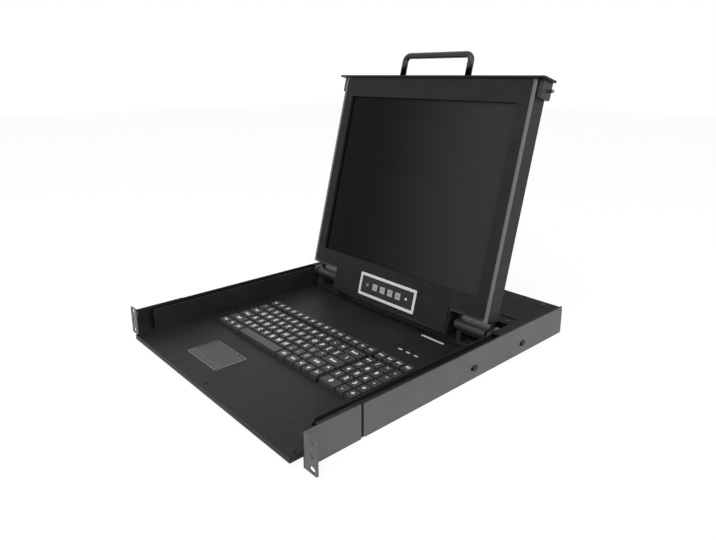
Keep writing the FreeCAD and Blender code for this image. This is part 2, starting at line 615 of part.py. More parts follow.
# Hinge arms: an eye on the pin, and a strap that runs up inside the lid to a foot.
arms = new_body("hinge_arm_pair", on_lid=True)
inner_arm = "block_inner - arm_gap - arm_thick"
lid_floor = "lid_back + sheet_thick"
for near, foot_near, foot_far in ((inner_arm, inner_arm, inner_arm + " + 16"),
                                  ("arm_outer - arm_thick", "arm_outer - 16", "arm_outer")):
    add_slab(arms, "YZ", near, near + " + arm_thick", circle("0", "0", "eye_radius"))
    add_slab(arms, "YZ", near, near + " + arm_thick", rect("0", "arm_reach", lid_floor, "3"))
    add_slab(arms, "XY", lid_floor, lid_floor + " + 1.5", rect(foot_near, foot_far, "25", "arm_reach"))
    cut_slab(arms, "YZ", near, near + " + arm_thick", circle("0", "0", "pin_radius + 0.05"))
both_hands(arms, "hinge_arms")


# ---------------------------------------------------------------- lid

# Outline of the lid: a rectangle with a middle tab that hangs between the hinge blocks.
def lid_outline(inset, tab_inset=None):
    step = tab_inset or inset
    head, foot, half = "lid_head - (%s)" % inset, "lid_foot + (%s)" % inset, "lid_half - (%s)" % inset
    tab, tab_end = "tab_half - (%s)" % step, "tab_foot + (%s)" % step
    right = [(tab, tab_end), (tab, foot), (half, foot), (half, head)]
    return polygon(right + [("0 - (%s)" % across, along) for across, along in reversed(right)])


# Back cover: a pressed pan with a folded rim. The foot is notched for the hinge arms, the upper
# corners are open for the latches and four bosses carry the screen.
back = new_piece("lid_back_cover", on_lid=True)
add_slab(back, "XY", "lid_back", "rim_face", lid_outline("0"))
round_edges(back, "2.5", "z", x=["lid_half", "0 - lid_half"], y=["lid_foot"])
cut_slab(back, "XY", lid_floor, "rim_face - sheet_thick", lid_outline("sheet_thick"))
cut_slab(back, "XY", "rim_face - sheet_thick", "rim_face", lid_outline("rim_width"))
module_back = "glass_face - glass_thick - module_thick"
add_slab(back, "XY", lid_floor, module_back,
         *[circle("%s screen_half" % sign, along, "4") for sign in ("0 +", "0 -")
           for along in ("screen_low", "screen_low + screen_tall")])
notches = cut_slab(back, "XZ", "lid_foot", "lid_foot + sheet_thick",
                   rect(inner_arm + " - 0.3", "block_inner", lid_floor, "3.4"),
                   rect(slot_inner, "lid_half - sheet_thick", lid_floor, "3.4"))
latch_window = cut_slab(back, "YZ", "lid_half - sheet_thick", "lid_half",
                        rect("latch_up - 10", "lid_head - sheet_thick", lid_floor, "latch_out + 6"))
stem_notch = cut_slab(back, "XZ", "lid_head - sheet_thick", "lid_head",
                      rect("thumb_middle - 8.5", "lid_half", "latch_out - 3", "latch_out + 3"))
screw_hole = cut_slab(back, "XZ", "lid_head - sheet_thick", "lid_head",
                      circle("handle_half", "handle_level", "2.7"))
mirror_features(back, [notches, latch_window, stem_notch, screw_hole])

# Bezel: a moulded frame on the rim. Its window edge turns in to the glass, and four pegs behind
# the control panel carry that panel's board.
bezel = new_piece("lid_bezel", on_lid=True)
screen_high = "screen_low + screen_tall"
add_slab(bezel, "XY", "rim_face", "bezel_face", lid_outline("bezel_inset", "4"))
add_slab(bezel, "XY", "glass_face + 0.2", "rim_face",
         rect("0 - screen_half - 2", "screen_half + 2", "screen_low - 2", screen_high + " + 2"))
peg_spots = [(across, along) for across in ("0 - peg_half", "peg_half") for along in ("peg_low", "peg_high")]
add_slab(bezel, "XY", "rim_face - peg_long", "rim_face",
         *[circle(across, along, "2.5") for across, along in peg_spots])
cut_slab(bezel, "XY", "glass_face + 0.2", "bezel_face",
         rect("0 - screen_half", "screen_half", "screen_low", screen_high))
button_spots = ["%s * button_pitch" % step for step in (-2.5, -1.5, -0.5, 0.5, 1.5)]
button_hole = "button_size / 2 + 0.4"
lamp_hole = circle("2.5 * button_pitch", "control_middle", "lamp_radius + 0.2")


def button_outline(spot, half):
    return rect("%s - (%s)" % (spot, half), "%s + (%s)" % (spot, half),
                "control_middle - (%s)" % half, "control_middle + (%s)" % half)


cut_slab(bezel, "XY", "rim_face", "bezel_face", lamp_hole,
         *[button_outline(spot, button_hole) for spot in button_spots])
round_edges(bezel, "2", "z", x=["lid_half - bezel_inset", "bezel_inset - lid_half"],
            y=["lid_foot + bezel_inset", "lid_head - bezel_inset"])

# Screen module and the cover glass in front of it.
module = new_piece("screen_module", on_lid=True)
module_front = "glass_face - glass_thick"
add_slab(module, "XY", module_back, module_front,
         rect("0 - screen_half - 10.4", "screen_half + 10.4", "screen_low - 13", screen_high + " + 13"))
cut_slab(module, "XY", module_front + " - module_recess", module_front,
         rect("0 - screen_half", "screen_half", "screen_low", screen_high))
glass = new_piece("screen_glass", on_lid=True)
add_slab(glass, "XY", module_front, "glass_face",
         rect("0 - screen_half - 3", "screen_half + 3", "screen_low - 3", screen_high + " + 3"))

# Screen driver board, on short standoffs behind the control panel.
driver = new_piece("screen_board", on_lid=True)
add_slab(driver, "XY", lid_floor + " + 2", lid_floor + " + 3.6",
         rect("0 - driver_half", "driver_half", "driver_low", "driver_high"))
add_slab(driver, "XY", lid_floor, lid_floor + " + 2",
         *[circle(across, along, "3.5") for across in ("driver_post - driver_half", "driver_half - driver_post")
           for along in ("driver_low + driver_post", "driver_high - driver_post")])
add_slab(driver, "XY", lid_floor + " + 3.6", lid_floor + " + 6",
         rect("-40", "-16", "0", "24"), rect("10", "24", "2", "16"), rect("50", "88", "-10", "-4"))

# Control panel: overlay, pale trim around it, its board with five switches and a lamp, and the
# five buttons.
overlay = new_piece("control_overlay", on_lid=True)
control_low, control_high = "control_middle - control_tall / 2", "control_middle + control_tall / 2"
add_slab(overlay, "XY", "bezel_face", "bezel_face + 0.8",
         rect("control_trim - control_half", "control_half - control_trim",
              control_low + " + control_trim", control_high + " - control_trim"))
cut_slab(overlay, "XY", "bezel_face", "bezel_face + 0.8", lamp_hole,
         *[button_outline(spot, button_hole) for spot in button_spots])
trim = new_piece("control_trim_ring", on_lid=True)
add_slab(trim, "XY", "bezel_face", "bezel_face + 1.2",
         rect("0 - control_half", "control_half", control_low, control_high))
cut_slab(trim, "XY", "bezel_face", "bezel_face + 1.2",
         rect("control_trim - control_half", "control_half - control_trim",
              control_low + " + control_trim", control_high + " - control_trim"))
round_edges(trim, "2", "z", x=["0 - control_half", "control_half"], y=[control_low, control_high])
control_board = new_piece("control_board", on_lid=True)
board_face = "rim_face - peg_long"
add_slab(control_board, "XY", board_face + " - board_thick", board_face,
         rect("0 - switch_board_half", "switch_board_half", "peg_low - 5", "peg_high + 5"))
add_slab(control_board, "XY", board_face, "rim_face - 1.4",
         *[button_outline(spot, "3") for spot in button_spots])
add_slab(control_board, "XY", board_face, "bezel_face + 0.4",
         circle("2.5 * button_pitch", "control_middle", "lamp_radius"))
for number, spot in enumerate(button_spots, start=1):
    key = new_piece("control_button_%d" % number, on_lid=True)
    add_slab(key, "XY", "rim_face - 0.7", "rim_face - 0.2",
             button_outline(spot, "button_size / 2 + button_flange"))
    add_slab(key, "XY", "rim_face - 0.2", "bezel_face + 1.6", button_outline(spot, "button_size / 2"))

# Front panel: the flat front of the closed drawer, slotted for the latch thumb pieces.
front = new_piece("front_panel", on_lid=True)
panel_out = "lid_head + panel_thick"
add_slab(front, "XZ", "lid_head", panel_out, rect("0 - panel_half", "panel_half", "lid_back", "panel_edge"))
thumb_slot = cut_slab(front, "XZ", "lid_head", panel_out,
                      rect("thumb_middle - 8.5", "thumb_middle + 2.5", "latch_out - 3", "latch_out + 3"))
handle_hole = cut_slab(front, "XZ", "lid_head", panel_out, circle("handle_half", "handle_level", "2.7"))
mirror_features(front, [thumb_slot, handle_hole])
round_edges(front, "2", "y", x=["panel_half", "0 - panel_half"], z=["lid_back", "panel_edge"])

# Handle: a round bar bent to a U, on two feet that are screwed from inside the lid.
handle = new_piece("pull_handle", on_lid=True)
bar_top = panel_out + " + handle_rise - handle_radius"


def bar_path(sketch):
    """Up one leg, across and down the other, with a quarter bend at each corner."""
    half, bend, low, high = (size(name) for name in ("handle_half", "handle_bend", panel_out, bar_top))
    runs = [((-half, low), (-half, high - bend)), ((bend - half, high), (half - bend, high)),
            ((half, high - bend), (half, low))]
    lines = [sketch.addGeometry(Part.LineSegment(Vector(*a, 0), Vector(*b, 0)), False) for a, b in runs]
    bends = []
    for middle, first in (((bend - half, high - bend), 90), ((half - bend, high - bend), 0)):
        start = math.radians(first)
        ring = Part.Circle(Vector(*middle, 0), Vector(0, 0, 1), bend)
        bends.append(sketch.addGeometry(Part.ArcOfCircle(ring, start, start + math.pi / 2), False))
    for number, (before, after) in enumerate(((0, 1), (1, 2))):
        sketch.addConstraint(Sketcher.Constraint("Tangent", lines[before], 2, bends[number], 2))
        sketch.addConstraint(Sketcher.Constraint("Tangent", bends[number], 1, lines[after], 1))
        radius = sketch.addConstraint(Sketcher.Constraint("Radius", bends[number], bend))
        sketch.setExpression("Constraints[%d]" % radius, bound("handle_bend"))
    sketch.addConstraint(Sketcher.Constraint("Vertical", lines[0]))
    sketch.addConstraint(Sketcher.Constraint("Vertical", lines[2]))
    pin_point(sketch, lines[0], 1, "0 - handle_half", panel_out)
    pin_point(sketch, lines[2], 2, "handle_half", panel_out)
    level = sketch.addConstraint(Sketcher.Constraint("DistanceY", -1, 1, lines[1], 1, high))
    sketch.setExpression("Constraints[%d]" % level, bound(bar_top))


spine = new_sketch(handle, "XY", "handle_level", [bar_path])
section = new_sketch(handle, "XZ", panel_out, [circle("0 - handle_half", "handle_level", "handle_radius")])
doc.recompute()
bar = handle.newObject("PartDesign::AdditivePipe", "pull_handle_bar")
bar.Profile = section
bar.Spine = (spine, [])
add_slab(handle, "XZ", panel_out, panel_out + " + 2",
         *[circle("%s handle_half" % sign, "handle_level", "handle_radius + 3") for sign in ("0 +", "0 -")])
cut_slab(handle, "XZ", panel_out, panel_out + " + 12",
         *[circle("%s handle_half" % sign, "handle_level", "2.5") for sign in ("0 +", "0 -")])
handle_screws = new_piece("handle_screws", on_lid=True)
add_slab(handle_screws, "XZ", "lid_head - sheet_thick - 2.4", "lid_head - sheet_thick",
         *[circle("%s handle_half" % sign, "handle_level", "3.2") for sign in ("0 +", "0 -")])
add_slab(handle_screws, "XZ", "lid_head - sheet_thick", panel_out + " + 12",
         *[circle("%s handle_half" % sign, "handle_level", "2.5") for sign in ("0 +", "0 -")])


# ---------------------------------------------------------------- latches

# Latch housing: a cast box on the lid's side. A tongue runs from it through the side window to an
# end wall that guides the bolt and stops its spring.
housing = new_piece("latch_housing_right", on_lid=True)
housing_low, housing_out = "latch_up - 13", "lid_half + 8"
bolt_hole = "bolt_radius + 0.05"
add_slab(housing, "YZ", "lid_half", housing_out,
         rect(housing_low, "lid_head", "lid_back", "latch_out + 18"))
round_edges(housing, "2.5", "z", x=[housing_out], y=[housing_low])
cut_slab(housing, "YZ", "lid_half", housing_out + " - housing_wall",
         rect(housing_low + " + housing_wall", "lid_head - housing_wall",
              "lid_back + housing_wall", "latch_out + 18 - housing_wall"))
add_slab(housing, "XY", "latch_out + 4.2", "latch_out + 4.2 + housing_wall",
         rect("housing_end", housing_out + " - housing_wall", "latch_up - 8", "latch_up + 8"))
add_slab(housing, "YZ", "housing_end", "housing_end + housing_wall",
         rect("latch_up - 8", "latch_up + 8", "latch_out - 3.9", "latch_out + 4.2 + housing_wall"))
cut_slab(housing, "YZ", "housing_end", housing_out, circle("latch_up", "latch_out", bolt_hole))
cut_slab(housing, "XZ", "lid_head - housing_wall", "lid_head",
         rect("lid_half", "thumb_middle + 2.5", "latch_out - 3", "latch_out + 3"))
left_hand(housing, "latch_housing_left")

# Latch bolt: a round bolt with a cone point and a spring collar. Its stem carries a ribbed thumb
# piece outside the front panel.
bolt = new_piece("latch_bolt_right", on_lid=True)
add_slab(bolt, "YZ", "housing_end - 0.5", "latch_tip - 2", circle("latch_up", "latch_out", "bolt_radius"))
add_slab(bolt, "YZ", "latch_tip - 2", "latch_tip",
         circle("latch_up", "latch_out", "bolt_radius"), slope="35")
add_slab(bolt, "YZ", "thumb_middle - 4", "thumb_middle - 2",
         circle("latch_up", "latch_out", "bolt_radius + 1.4"))
add_slab(bolt, "XZ", "latch_up", panel_out + " + 0.4",
         rect("thumb_middle - 2", "thumb_middle + 2", "latch_out - 2.4", "latch_out + 2.4"))
add_slab(bolt, "XZ", panel_out + " + 0.4", panel_out + " + 2.2",
         rect("thumb_middle - 5", "thumb_middle + 5", "latch_out - 5", "latch_out + 5"))
rib = add_slab(bolt, "XZ", panel_out + " + 2.2", panel_out + " + 3",
               rect("thumb_middle - 4", "thumb_middle - 3", "latch_out - 4.5", "latch_out + 4.5"))
repeat_features(bolt, [rib], "X", "7", 4)
left_hand(bolt, "latch_bolt_left")

# Latch spring: a closed coil between the housing's end wall and the bolt's collar.
spring = doc.addObject("Part::Helix", "latch_spring_path")
spring_seat = "housing_end + housing_wall + spring_wire + 0.1"
spring_turns = 4.5
spring.SegmentLength = 1
spring.setExpression("Height", bound("thumb_middle - 4.5 - spring_wire - (%s)" % spring_seat))
spring.setExpression("Pitch", bound("(thumb_middle - 4.5 - spring_wire - (%s)) / %s"
                                    % (spring_seat, spring_turns)))
spring.setExpression("Radius", bound("spring_radius"))
wire = doc.addObject("Part::Circle", "latch_spring_wire")
wire.Placement = Placement(Vector(), Rotation(Vector(1, 0, 0), 90))
wire.setExpression("Placement.Base.x", bound("spring_radius"))
wire.setExpression("Radius", bound("spring_wire"))
coil = doc.addObject("Part::Sweep", "latch_spring_right")
coil.Label = "latch_spring_right"
coil.Sections = [wire]
coil.Spine = spring
coil.Solid = True
coil.Frenet = True
lid_frame = Placement(Vector(0, size("hinge_depth"), size("hinge_height - unit_height / 2")),
                      Rotation(Vector(1, 0, 0), size("90 - lid_tilt")))
seat = Placement(Vector(size(spring_seat), size("latch_up"), size("latch_out")),
                 Rotation(Vector(0, 1, 0), 90))
coil.Placement = lid_frame.multiply(seat)
pieces.append(coil)
left_hand(coil, "latch_spring_left")


# ---------------------------------------------------------------- checks and files

doc.recompute()
for item in doc.Objects:
    if "Invalid" in item.State or "Error" in item.State:
        raise RuntimeError("%s failed to build: %s" % (item.Label, item.State))
    if item.isDerivedFrom("PartDesign::Pocket"):
        before = item.BaseFeature.Shape.Volume
        if item.Shape.Volume > before - 0.01:
            raise RuntimeError("%s cuts nothing" % item.Label)
for piece in pieces:
    if piece.Shape.isNull() or not piece.Shape.isValid() or piece.Shape.Volume <= 0:
        raise RuntimeError("%s has no valid solid" % piece.Label)

os.makedirs("parts", exist_ok=True)
for piece in pieces:
    piece.Shape.exportStep("parts/%s.step" % piece.Label)
print("%d sub-parts written" % len(pieces))
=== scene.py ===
from math import cos, pi, radians, sin

import bmesh
import bpy
from mathutils import Matrix, Vector


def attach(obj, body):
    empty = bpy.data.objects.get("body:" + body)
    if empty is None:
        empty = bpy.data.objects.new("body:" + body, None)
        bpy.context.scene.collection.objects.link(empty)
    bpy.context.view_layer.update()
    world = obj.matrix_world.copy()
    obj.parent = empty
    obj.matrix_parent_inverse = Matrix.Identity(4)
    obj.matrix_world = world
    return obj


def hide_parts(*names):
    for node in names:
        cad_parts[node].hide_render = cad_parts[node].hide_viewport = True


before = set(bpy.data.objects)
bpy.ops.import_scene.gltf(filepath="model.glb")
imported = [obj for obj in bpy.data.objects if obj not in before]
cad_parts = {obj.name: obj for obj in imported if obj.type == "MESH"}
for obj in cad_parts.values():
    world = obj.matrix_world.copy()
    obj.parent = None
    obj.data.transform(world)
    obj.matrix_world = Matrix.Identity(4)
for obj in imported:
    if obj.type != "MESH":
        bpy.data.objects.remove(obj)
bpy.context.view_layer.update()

MM = 0.001
FLOOR = -21.85 * MM     # the underside of the frame


# ---------------------------------------------------------------- fixed frame
# The side plates are folded from 1.5 mm steel and carry the slides; the ears and the rear
# brackets are 2 mm steel. The brackets are sprayed with a graphite-grey powder, the plates black.

def linear(colour):
    """A written sRGB colour, such as '5c5d5f', as the linear colour that a shader takes."""
    parts = [int(colour[i:i + 2], 16) / 255 for i in (0, 2, 4)]
    return [p / 12.92 if p <= 0.04045 else ((p + 0.055) / 1.055) ** 2.4 for p in parts] + [1]


def add_node(tree, kind, values=None, links=None, **settings):
    """Add one node with its settings, its sockets' values and its incoming links."""
    made = tree.nodes.new(kind)
    for name, value in settings.items():
        setattr(made, name, value)
    for name, value in (values or {}).items():
        made.inputs[name].default_value = value
    for name, source in (links or {}).items():
        tree.links.new(source, made.inputs[name])
    return made


def new_finish(name, values=None):
    """A material with only its shader and output; the shader's sockets take the plain values."""
    finish = bpy.data.materials.new(name)
    finish.use_nodes = True
    finish.node_tree.nodes.clear()
    shader = add_node(finish.node_tree, "ShaderNodeBsdfPrincipled", values)
    add_node(finish.node_tree, "ShaderNodeOutputMaterial", links={"Surface": shader.outputs[0]})
    return finish, finish.node_tree, shader


def grain(tree, size_mm, stretch=(1, 1, 1), detail=3.0):
    """Noise whose blotches are about size_mm across, on the piece's own coordinates."""
    place = add_node(tree, "ShaderNodeTexCoord")
    mapping = add_node(tree, "ShaderNodeMapping", {"Scale": stretch}, {"Vector": place.outputs["Object"]})
    return add_node(tree, "ShaderNodeTexNoise", {"Scale": 1 / (size_mm * MM), "Detail": detail},
                    {"Vector": mapping.outputs[0]}).outputs["Fac"]


def between(tree, source, low, high, start=0.3, end=0.7):
    """The source's middle range spread between two values."""
    ends = {"From Min": start, "From Max": end, "To Min": low, "To Max": high}
    return add_node(tree, "ShaderNodeMapRange", ends, {"Value": source}).outputs[0]


def two_tone(tree, source, dark, light):
    """Blend two written colours by a source."""
    return add_node(tree, "ShaderNodeMix", {"A": linear(dark), "B": linear(light)}, {"Factor": source},
                    data_type="RGBA").outputs["Result"]


def relief(tree, shader, source, depth_mm, strength):
    """Raise the surface by a source."""
    bump = add_node(tree, "ShaderNodeBump", {"Distance": depth_mm * MM, "Strength": strength},
                    {"Height": source})
    tree.links.new(bump.outputs[0], shader.inputs["Normal"])


def powder_coat(name, dark, light, rough, peel_mm=1.4, gloss=0.5):
    """Baked powder on steel: an even colour that drifts slightly over a hand's width, and an orange
    peel of low round bumps, drawn somewhat coarser than the real 0.8 mm so that it shows."""
    drift_mm, wiped_mm, wiped_along = 55, 9, (1, 0.12, 1)
    finish, tree, shader = new_finish(name, {"IOR": 1.5, "Specular IOR Level": gloss})
    drift = between(tree, grain(tree, drift_mm, detail=2), 0, 1)
    tree.links.new(two_tone(tree, drift, dark, light), shader.inputs["Base Color"])
    wiped = grain(tree, wiped_mm, wiped_along, 4)
    tree.links.new(between(tree, wiped, rough - 0.04, rough + 0.05), shader.inputs["Roughness"])
    relief(tree, shader, grain(tree, peel_mm), depth_mm=0.03, strength=0.35)
    return finish


def as_mesh(name, shape):
    """The plain mesh of a finished bmesh."""
    mesh = bpy.data.meshes.new(name)
    shape.to_mesh(mesh)
    shape.free()
    return mesh


def formed(part, body, finish, radius_mm=0.3, moved=None):
    """A copy of a part with its seams merged and its edges broken by a small radius. It stands for
    the part and moves with the part's body. A rule for its points can draw its outline further."""
    seam, nearly_flat, sharp_edge = 2e-6, radians(0.6), radians(35)
    shape = bmesh.new()
    shape.from_mesh(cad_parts[part].data)
    for point in shape.verts:
        point.co = moved(point.co) if moved else point.co
    bmesh.ops.remove_doubles(shape, verts=shape.verts, dist=seam)
    bmesh.ops.dissolve_limit(shape, angle_limit=nearly_flat, verts=shape.verts, edges=shape.edges)
    mesh = as_mesh(part + "_formed", shape)
    mesh.materials.clear()
    mesh.materials.append(finish)
    for face in mesh.polygons:
        face.use_smooth = True
        face.material_index = 0
    piece = bpy.data.objects.new(part + "_formed", mesh)
    bpy.context.collection.objects.link(piece)
    soften = piece.modifiers.new("broken_edges", "BEVEL")
    soften.width = radius_mm * MM
    soften.segments = 2
    soften.limit_method = "ANGLE"
    soften.angle_limit = sharp_edge
    flatten = piece.modifiers.new("flat_faces", "WEIGHTED_NORMAL")
    flatten.weight = 90     # large faces stay flat beside their broken edges
    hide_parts(part)
    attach(piece, body)
    return piece


def full_height(point):
    """The rear bracket covers the side plate's whole height, and leaves a narrow gap to the ear."""
    bar_foot, bar_top, bar_front = 6.5 * MM + FLOOR, 26.5 * MM + FLOOR, 86 * MM
    foot_lower, top_higher, gap_wider = 2.4 * MM, 13.1 * MM, 0.7 * MM
    x, y, z = point
    z += top_higher if z > bar_top else -foot_lower if z < bar_foot else 0
    return Vector((x, y + gap_wider if y < bar_front else y, z))


graphite_coat = powder_coat("graphite_powder_coat_on_steel", "4c4c4c", "545454", 0.44)
plate_coat = powder_coat("black_powder_coat_on_side_plates", "19191a", "1f1f20", 0.5, gloss=0.2)
for side in ("right", "left"):
    formed("side_plate_" + side, "frame", plate_coat)
    formed("ear_bracket_" + side, "frame", graphite_coat)
    formed("rear_bracket_" + side, "frame", graphite_coat, moved=full_height)
formed("cross_ties", "frame", plate_coat)


# ---------------------------------------------------------------- bracket screws
# Pan-head screws, M5, black zinc on steel, with a cross recess. Two hold each rear bracket to its
# side plate, through the bracket's slots.

def plated_steel(name, dark, light, rough, streak=(1, 1, 1), streak_mm=4):
    """Bare or plated metal: full metallic, with faint drawing or tumbling marks in its roughness."""
    finish, tree, shader = new_finish(name, {"Metallic": 1})
    marks = grain(tree, streak_mm, streak, 4)
    tree.links.new(two_tone(tree, between(tree, marks, 0, 1), dark, light), shader.inputs["Base Color"])
    tree.links.new(between(tree, marks, rough - 0.06, rough + 0.08), shader.inputs["Roughness"])
    relief(tree, shader, marks, depth_mm=0.01, strength=0.3)
    return finish


def new_tree(name, sizes):
    """A geometry tree with one incoming geometry, named sizes in metres and one finish."""
    tree = bpy.data.node_groups.new(name, "GeometryNodeTree")
    tree.is_modifier = True
    tree.interface.new_socket("Places", in_out="INPUT", socket_type="NodeSocketGeometry")
    for size, value in sizes.items():
        tree.interface.new_socket(size, in_out="INPUT", socket_type="NodeSocketFloat").default_value = value
    tree.interface.new_socket("Finish", in_out="INPUT", socket_type="NodeSocketMaterial")
    tree.interface.new_socket("Pieces", in_out="OUTPUT", socket_type="NodeSocketGeometry")
    given = add_node(tree, "NodeGroupInput").outputs
    return tree, given


def times(tree, source, factor):
    """A value multiplied by a factor."""
    return add_node(tree, "ShaderNodeMath", {1: factor}, {0: source}, operation="MULTIPLY").outputs[0]


def lifted(tree, shape, height):
    """A shape moved straight up."""
    up = add_node(tree, "ShaderNodeCombineXYZ", links={"Z": height})
    return add_node(tree, "GeometryNodeTransform",
                    links={"Geometry": shape, "Translation": up.outputs[0]}).outputs[0]


def end_tree(tree, given, shape):
    """Put a copy of the shape on each place, turned to its direction, make the copies real, give
    them their finish and hand them out."""
    direction = add_node(tree, "GeometryNodeInputNamedAttribute", {"Name": "facing"},
                         data_type="FLOAT_VECTOR")
    turned = add_node(tree, "FunctionNodeAlignRotationToVector",
                      links={"Vector": direction.outputs["Attribute"]}, axis="Z")
    spread = add_node(tree, "GeometryNodeInstanceOnPoints",
                      links={"Points": given["Places"], "Instance": shape, "Rotation": turned.outputs[0]})
    real = add_node(tree, "GeometryNodeRealizeInstances", links={"Geometry": spread.outputs[0]})
    coated = add_node(tree, "GeometryNodeSetMaterial", links={"Geometry": real.outputs[0],
                                                              "Material": given["Finish"]})
    add_node(tree, "NodeGroupOutput", links={"Pieces": coated.outputs[0]})


def grown(tree, places, finish, **sizes):
    """The plain mesh that a tree makes on a set of places. Each place is a point and the direction
    that its copy faces."""
    mesh = bpy.data.meshes.new(tree.name + "_places")
    mesh.from_pydata([point for point, _ in places], [], [])
    facing = mesh.attributes.new("facing", "FLOAT_VECTOR", "POINT")
    for i, (_, direction) in enumerate(places):
        facing.data[i].vector = direction
    maker = bpy.data.objects.new(tree.name + "_maker", mesh)
    bpy.context.collection.objects.link(maker)
    modifier = maker.modifiers.new("grow", "NODES")
    modifier.node_group = tree
    for socket in tree.interface.items_tree:
        if socket.in_out == "INPUT" and socket.name in sizes:
            modifier[socket.identifier] = sizes[socket.name]
        elif socket.name == "Finish":
            modifier[socket.identifier] = finish
    graph = bpy.context.evaluated_depsgraph_get()
    plain = bpy.data.meshes.new_from_object(maker.evaluated_get(graph))
    maker.modifiers.remove(modifier)
    bpy.data.objects.remove(maker)
    return plain


def placed(name, mesh, body, finish, replaces=()):
    """A finished piece with its one finish, on its body. It can stand for parts."""
    piece = bpy.data.objects.new(name, mesh)
    mesh.materials.clear()
    mesh.materials.append(finish)
    bpy.context.collection.objects.link(piece)
    if replaces:
        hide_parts(*replaces)
    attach(piece, body)
    return piece


# The head is turned as a low dome over a short straight edge, and the cross is two crossed blades
# driven into it.
screw_tree, given = new_tree("pan_head_screw", {"Radius": 0.0044, "Height": 0.0014, "Recess": 0.0014})
edge = add_node(screw_tree, "GeometryNodeMeshCylinder", {"Vertices": 28},
                {"Radius": given["Radius"], "Depth": given["Height"]}, fill_type="NGON")
raised = lifted(screw_tree, edge.outputs["Mesh"], times(screw_tree, given["Height"], 0.5))
crown = times(screw_tree, given["Height"], 0.35)
domed = add_node(screw_tree, "GeometryNodeExtrudeMesh", {"Individual": False},
                 {"Mesh": raised, "Selection": edge.outputs["Top"], "Offset Scale": crown})
narrow = add_node(screw_tree, "GeometryNodeScaleElements", {"Scale": 0.72},
                  {"Geometry": domed.outputs["Mesh"], "Selection": domed.outputs["Top"]})
driven = add_node(screw_tree, "GeometryNodeMeshBoolean", links={"Mesh 1": narrow.outputs[0]},
                  operation="DIFFERENCE", solver="EXACT")
blade_long = times(screw_tree, given["Radius"], 1.05)
blade_wide = times(screw_tree, given["Radius"], 0.22)
blade_deep = times(screw_tree, given["Recess"], 2)
head_top = add_node(screw_tree, "ShaderNodeMath", links={0: given["Height"], 1: crown})
for along, over in ("XY", "YX"):
    blade_size = add_node(screw_tree, "ShaderNodeCombineXYZ",
                          links={along: blade_long, over: blade_wide, "Z": blade_deep})
    blade = add_node(screw_tree, "GeometryNodeMeshCube", links={"Size": blade_size.outputs[0]})
    screw_tree.links.new(lifted(screw_tree, blade.outputs["Mesh"], head_top.outputs[0]),
                         driven.inputs["Mesh 2"])
end_tree(screw_tree, given, driven.outputs["Mesh"])


def screw_heads(name, places, body, radius_mm, height_mm, recess_mm):
    """Pan heads in black zinc, one on each place."""
    heads = grown(screw_tree, places, black_zinc, Radius=radius_mm * MM, Height=height_mm * MM,
                  Recess=recess_mm * MM)
    placed(name, heads, body, black_zinc)


def give(parts, finish):
    """Give a finish to parts that keep their own shape."""
    for part in parts:
        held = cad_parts[part].data
        held.materials.clear()
        held.materials.append(finish)


black_zinc = plated_steel("black_zinc_on_screw_steel", "2a2a2c", "3a3a3d", 0.38)
bracket_face, bracket_middle = 221.2 * MM, 16 * MM + FLOOR     # the heads' feet are 0.2 mm deep in it
screw_heads("bracket_screw_heads", [((side * bracket_face, y * MM, bracket_middle), (side, 0, 0))
                                    for side in (1, -1) for y in (285, 400)], "frame", 4.4, 1.1, 1.1)
give(["bracket_screws"], black_zinc)


# ---------------------------------------------------------------- ball slides
# Three-part telescopic slides, roll-formed from black-zinc strip. The pressed cages between them
# are yellow-passivated steel and hold hardened balls.

rolled_zinc = plated_steel("black_zinc_rolled_steel", "38383a", "4a4a4c", 0.36, (1, 0.04, 1), 3)
cage_zinc = plated_steel("yellow_passivated_cage_steel", "a58f56", "c2ad74", 0.36)
for part, body in (("slide_outer_members", "frame"), ("slide_middle_members", "slide_middle"),
                   ("slide_inner_members", "drawer")):
    formed(part, body, rolled_zinc, 0.2)
give(["outer_ball_cages", "inner_ball_cages"], cage_zinc)


# ---------------------------------------------------------------- drawer tray
# The tray is one folded pan of 1.2 mm steel. The deck over it is a shallow inverted pan, and a
# cover and a panel close the bay behind it. All are powder-coated black, the cover matt and the
# deck smooth, and held by small screws.

black_coat = powder_coat("satin_black_powder_coat", "1e1e1e", "252525", 0.5, gloss=0.2)
deck_black = powder_coat("smooth_black_deck_coat", "212121", "272727", 0.46, 2.2, 0.14)
cover_coat = powder_coat("matt_black_cover_coat", "181818", "1e1e1e", 0.68, gloss=0.1)


def deeper(point):
    """The keyboard's opening and pan are drawn back, to hold its six rows at their full pitch."""
    edge_front, edge_back, drawn_back = 223.5 * MM, 228.5 * MM, 4.7 * MM
    x, y, z = point
    return Vector((x, y + drawn_back if edge_front < y < edge_back else y, z))


formed("tray_pan", "drawer", black_coat)
formed("rear_cover", "drawer", cover_coat)
formed("rear_panel", "drawer", black_coat)
formed("deck_plate", "drawer", deck_black, moved=deeper)

deck_level = 7 * MM + FLOOR
cover_level = 43.6 * MM + FLOOR
deck_spots = [(x, y) for x in (-196, 196) for y in (4, 165, 300)] + [(0, 4)]
cover_spots = [(x, y) for x in (-196, 196) for y in (398, 494)]
cover_spots += [(-66, 494), (66, 494), (-66, 398), (66, 398)]
sunk_in = 0.1 * MM     # each small head stands this deep in its sheet
levels_held = ((deck_level, deck_spots), (cover_level, cover_spots))
screw_heads("deck_and_cover_screws", [((x * MM, y * MM, level - sunk_in), (0, 0, 1))
                                      for level, spots in levels_held for x, y in spots],
            "drawer", 2.8, 0.6, 0.6)


# ---------------------------------------------------------------- keyboard
# The caps are injection-moulded black ABS, one shot each, with drafted sides, a round shoulder and
# a slightly dished top. Their legends are printed white. They stand in a moulded pan.

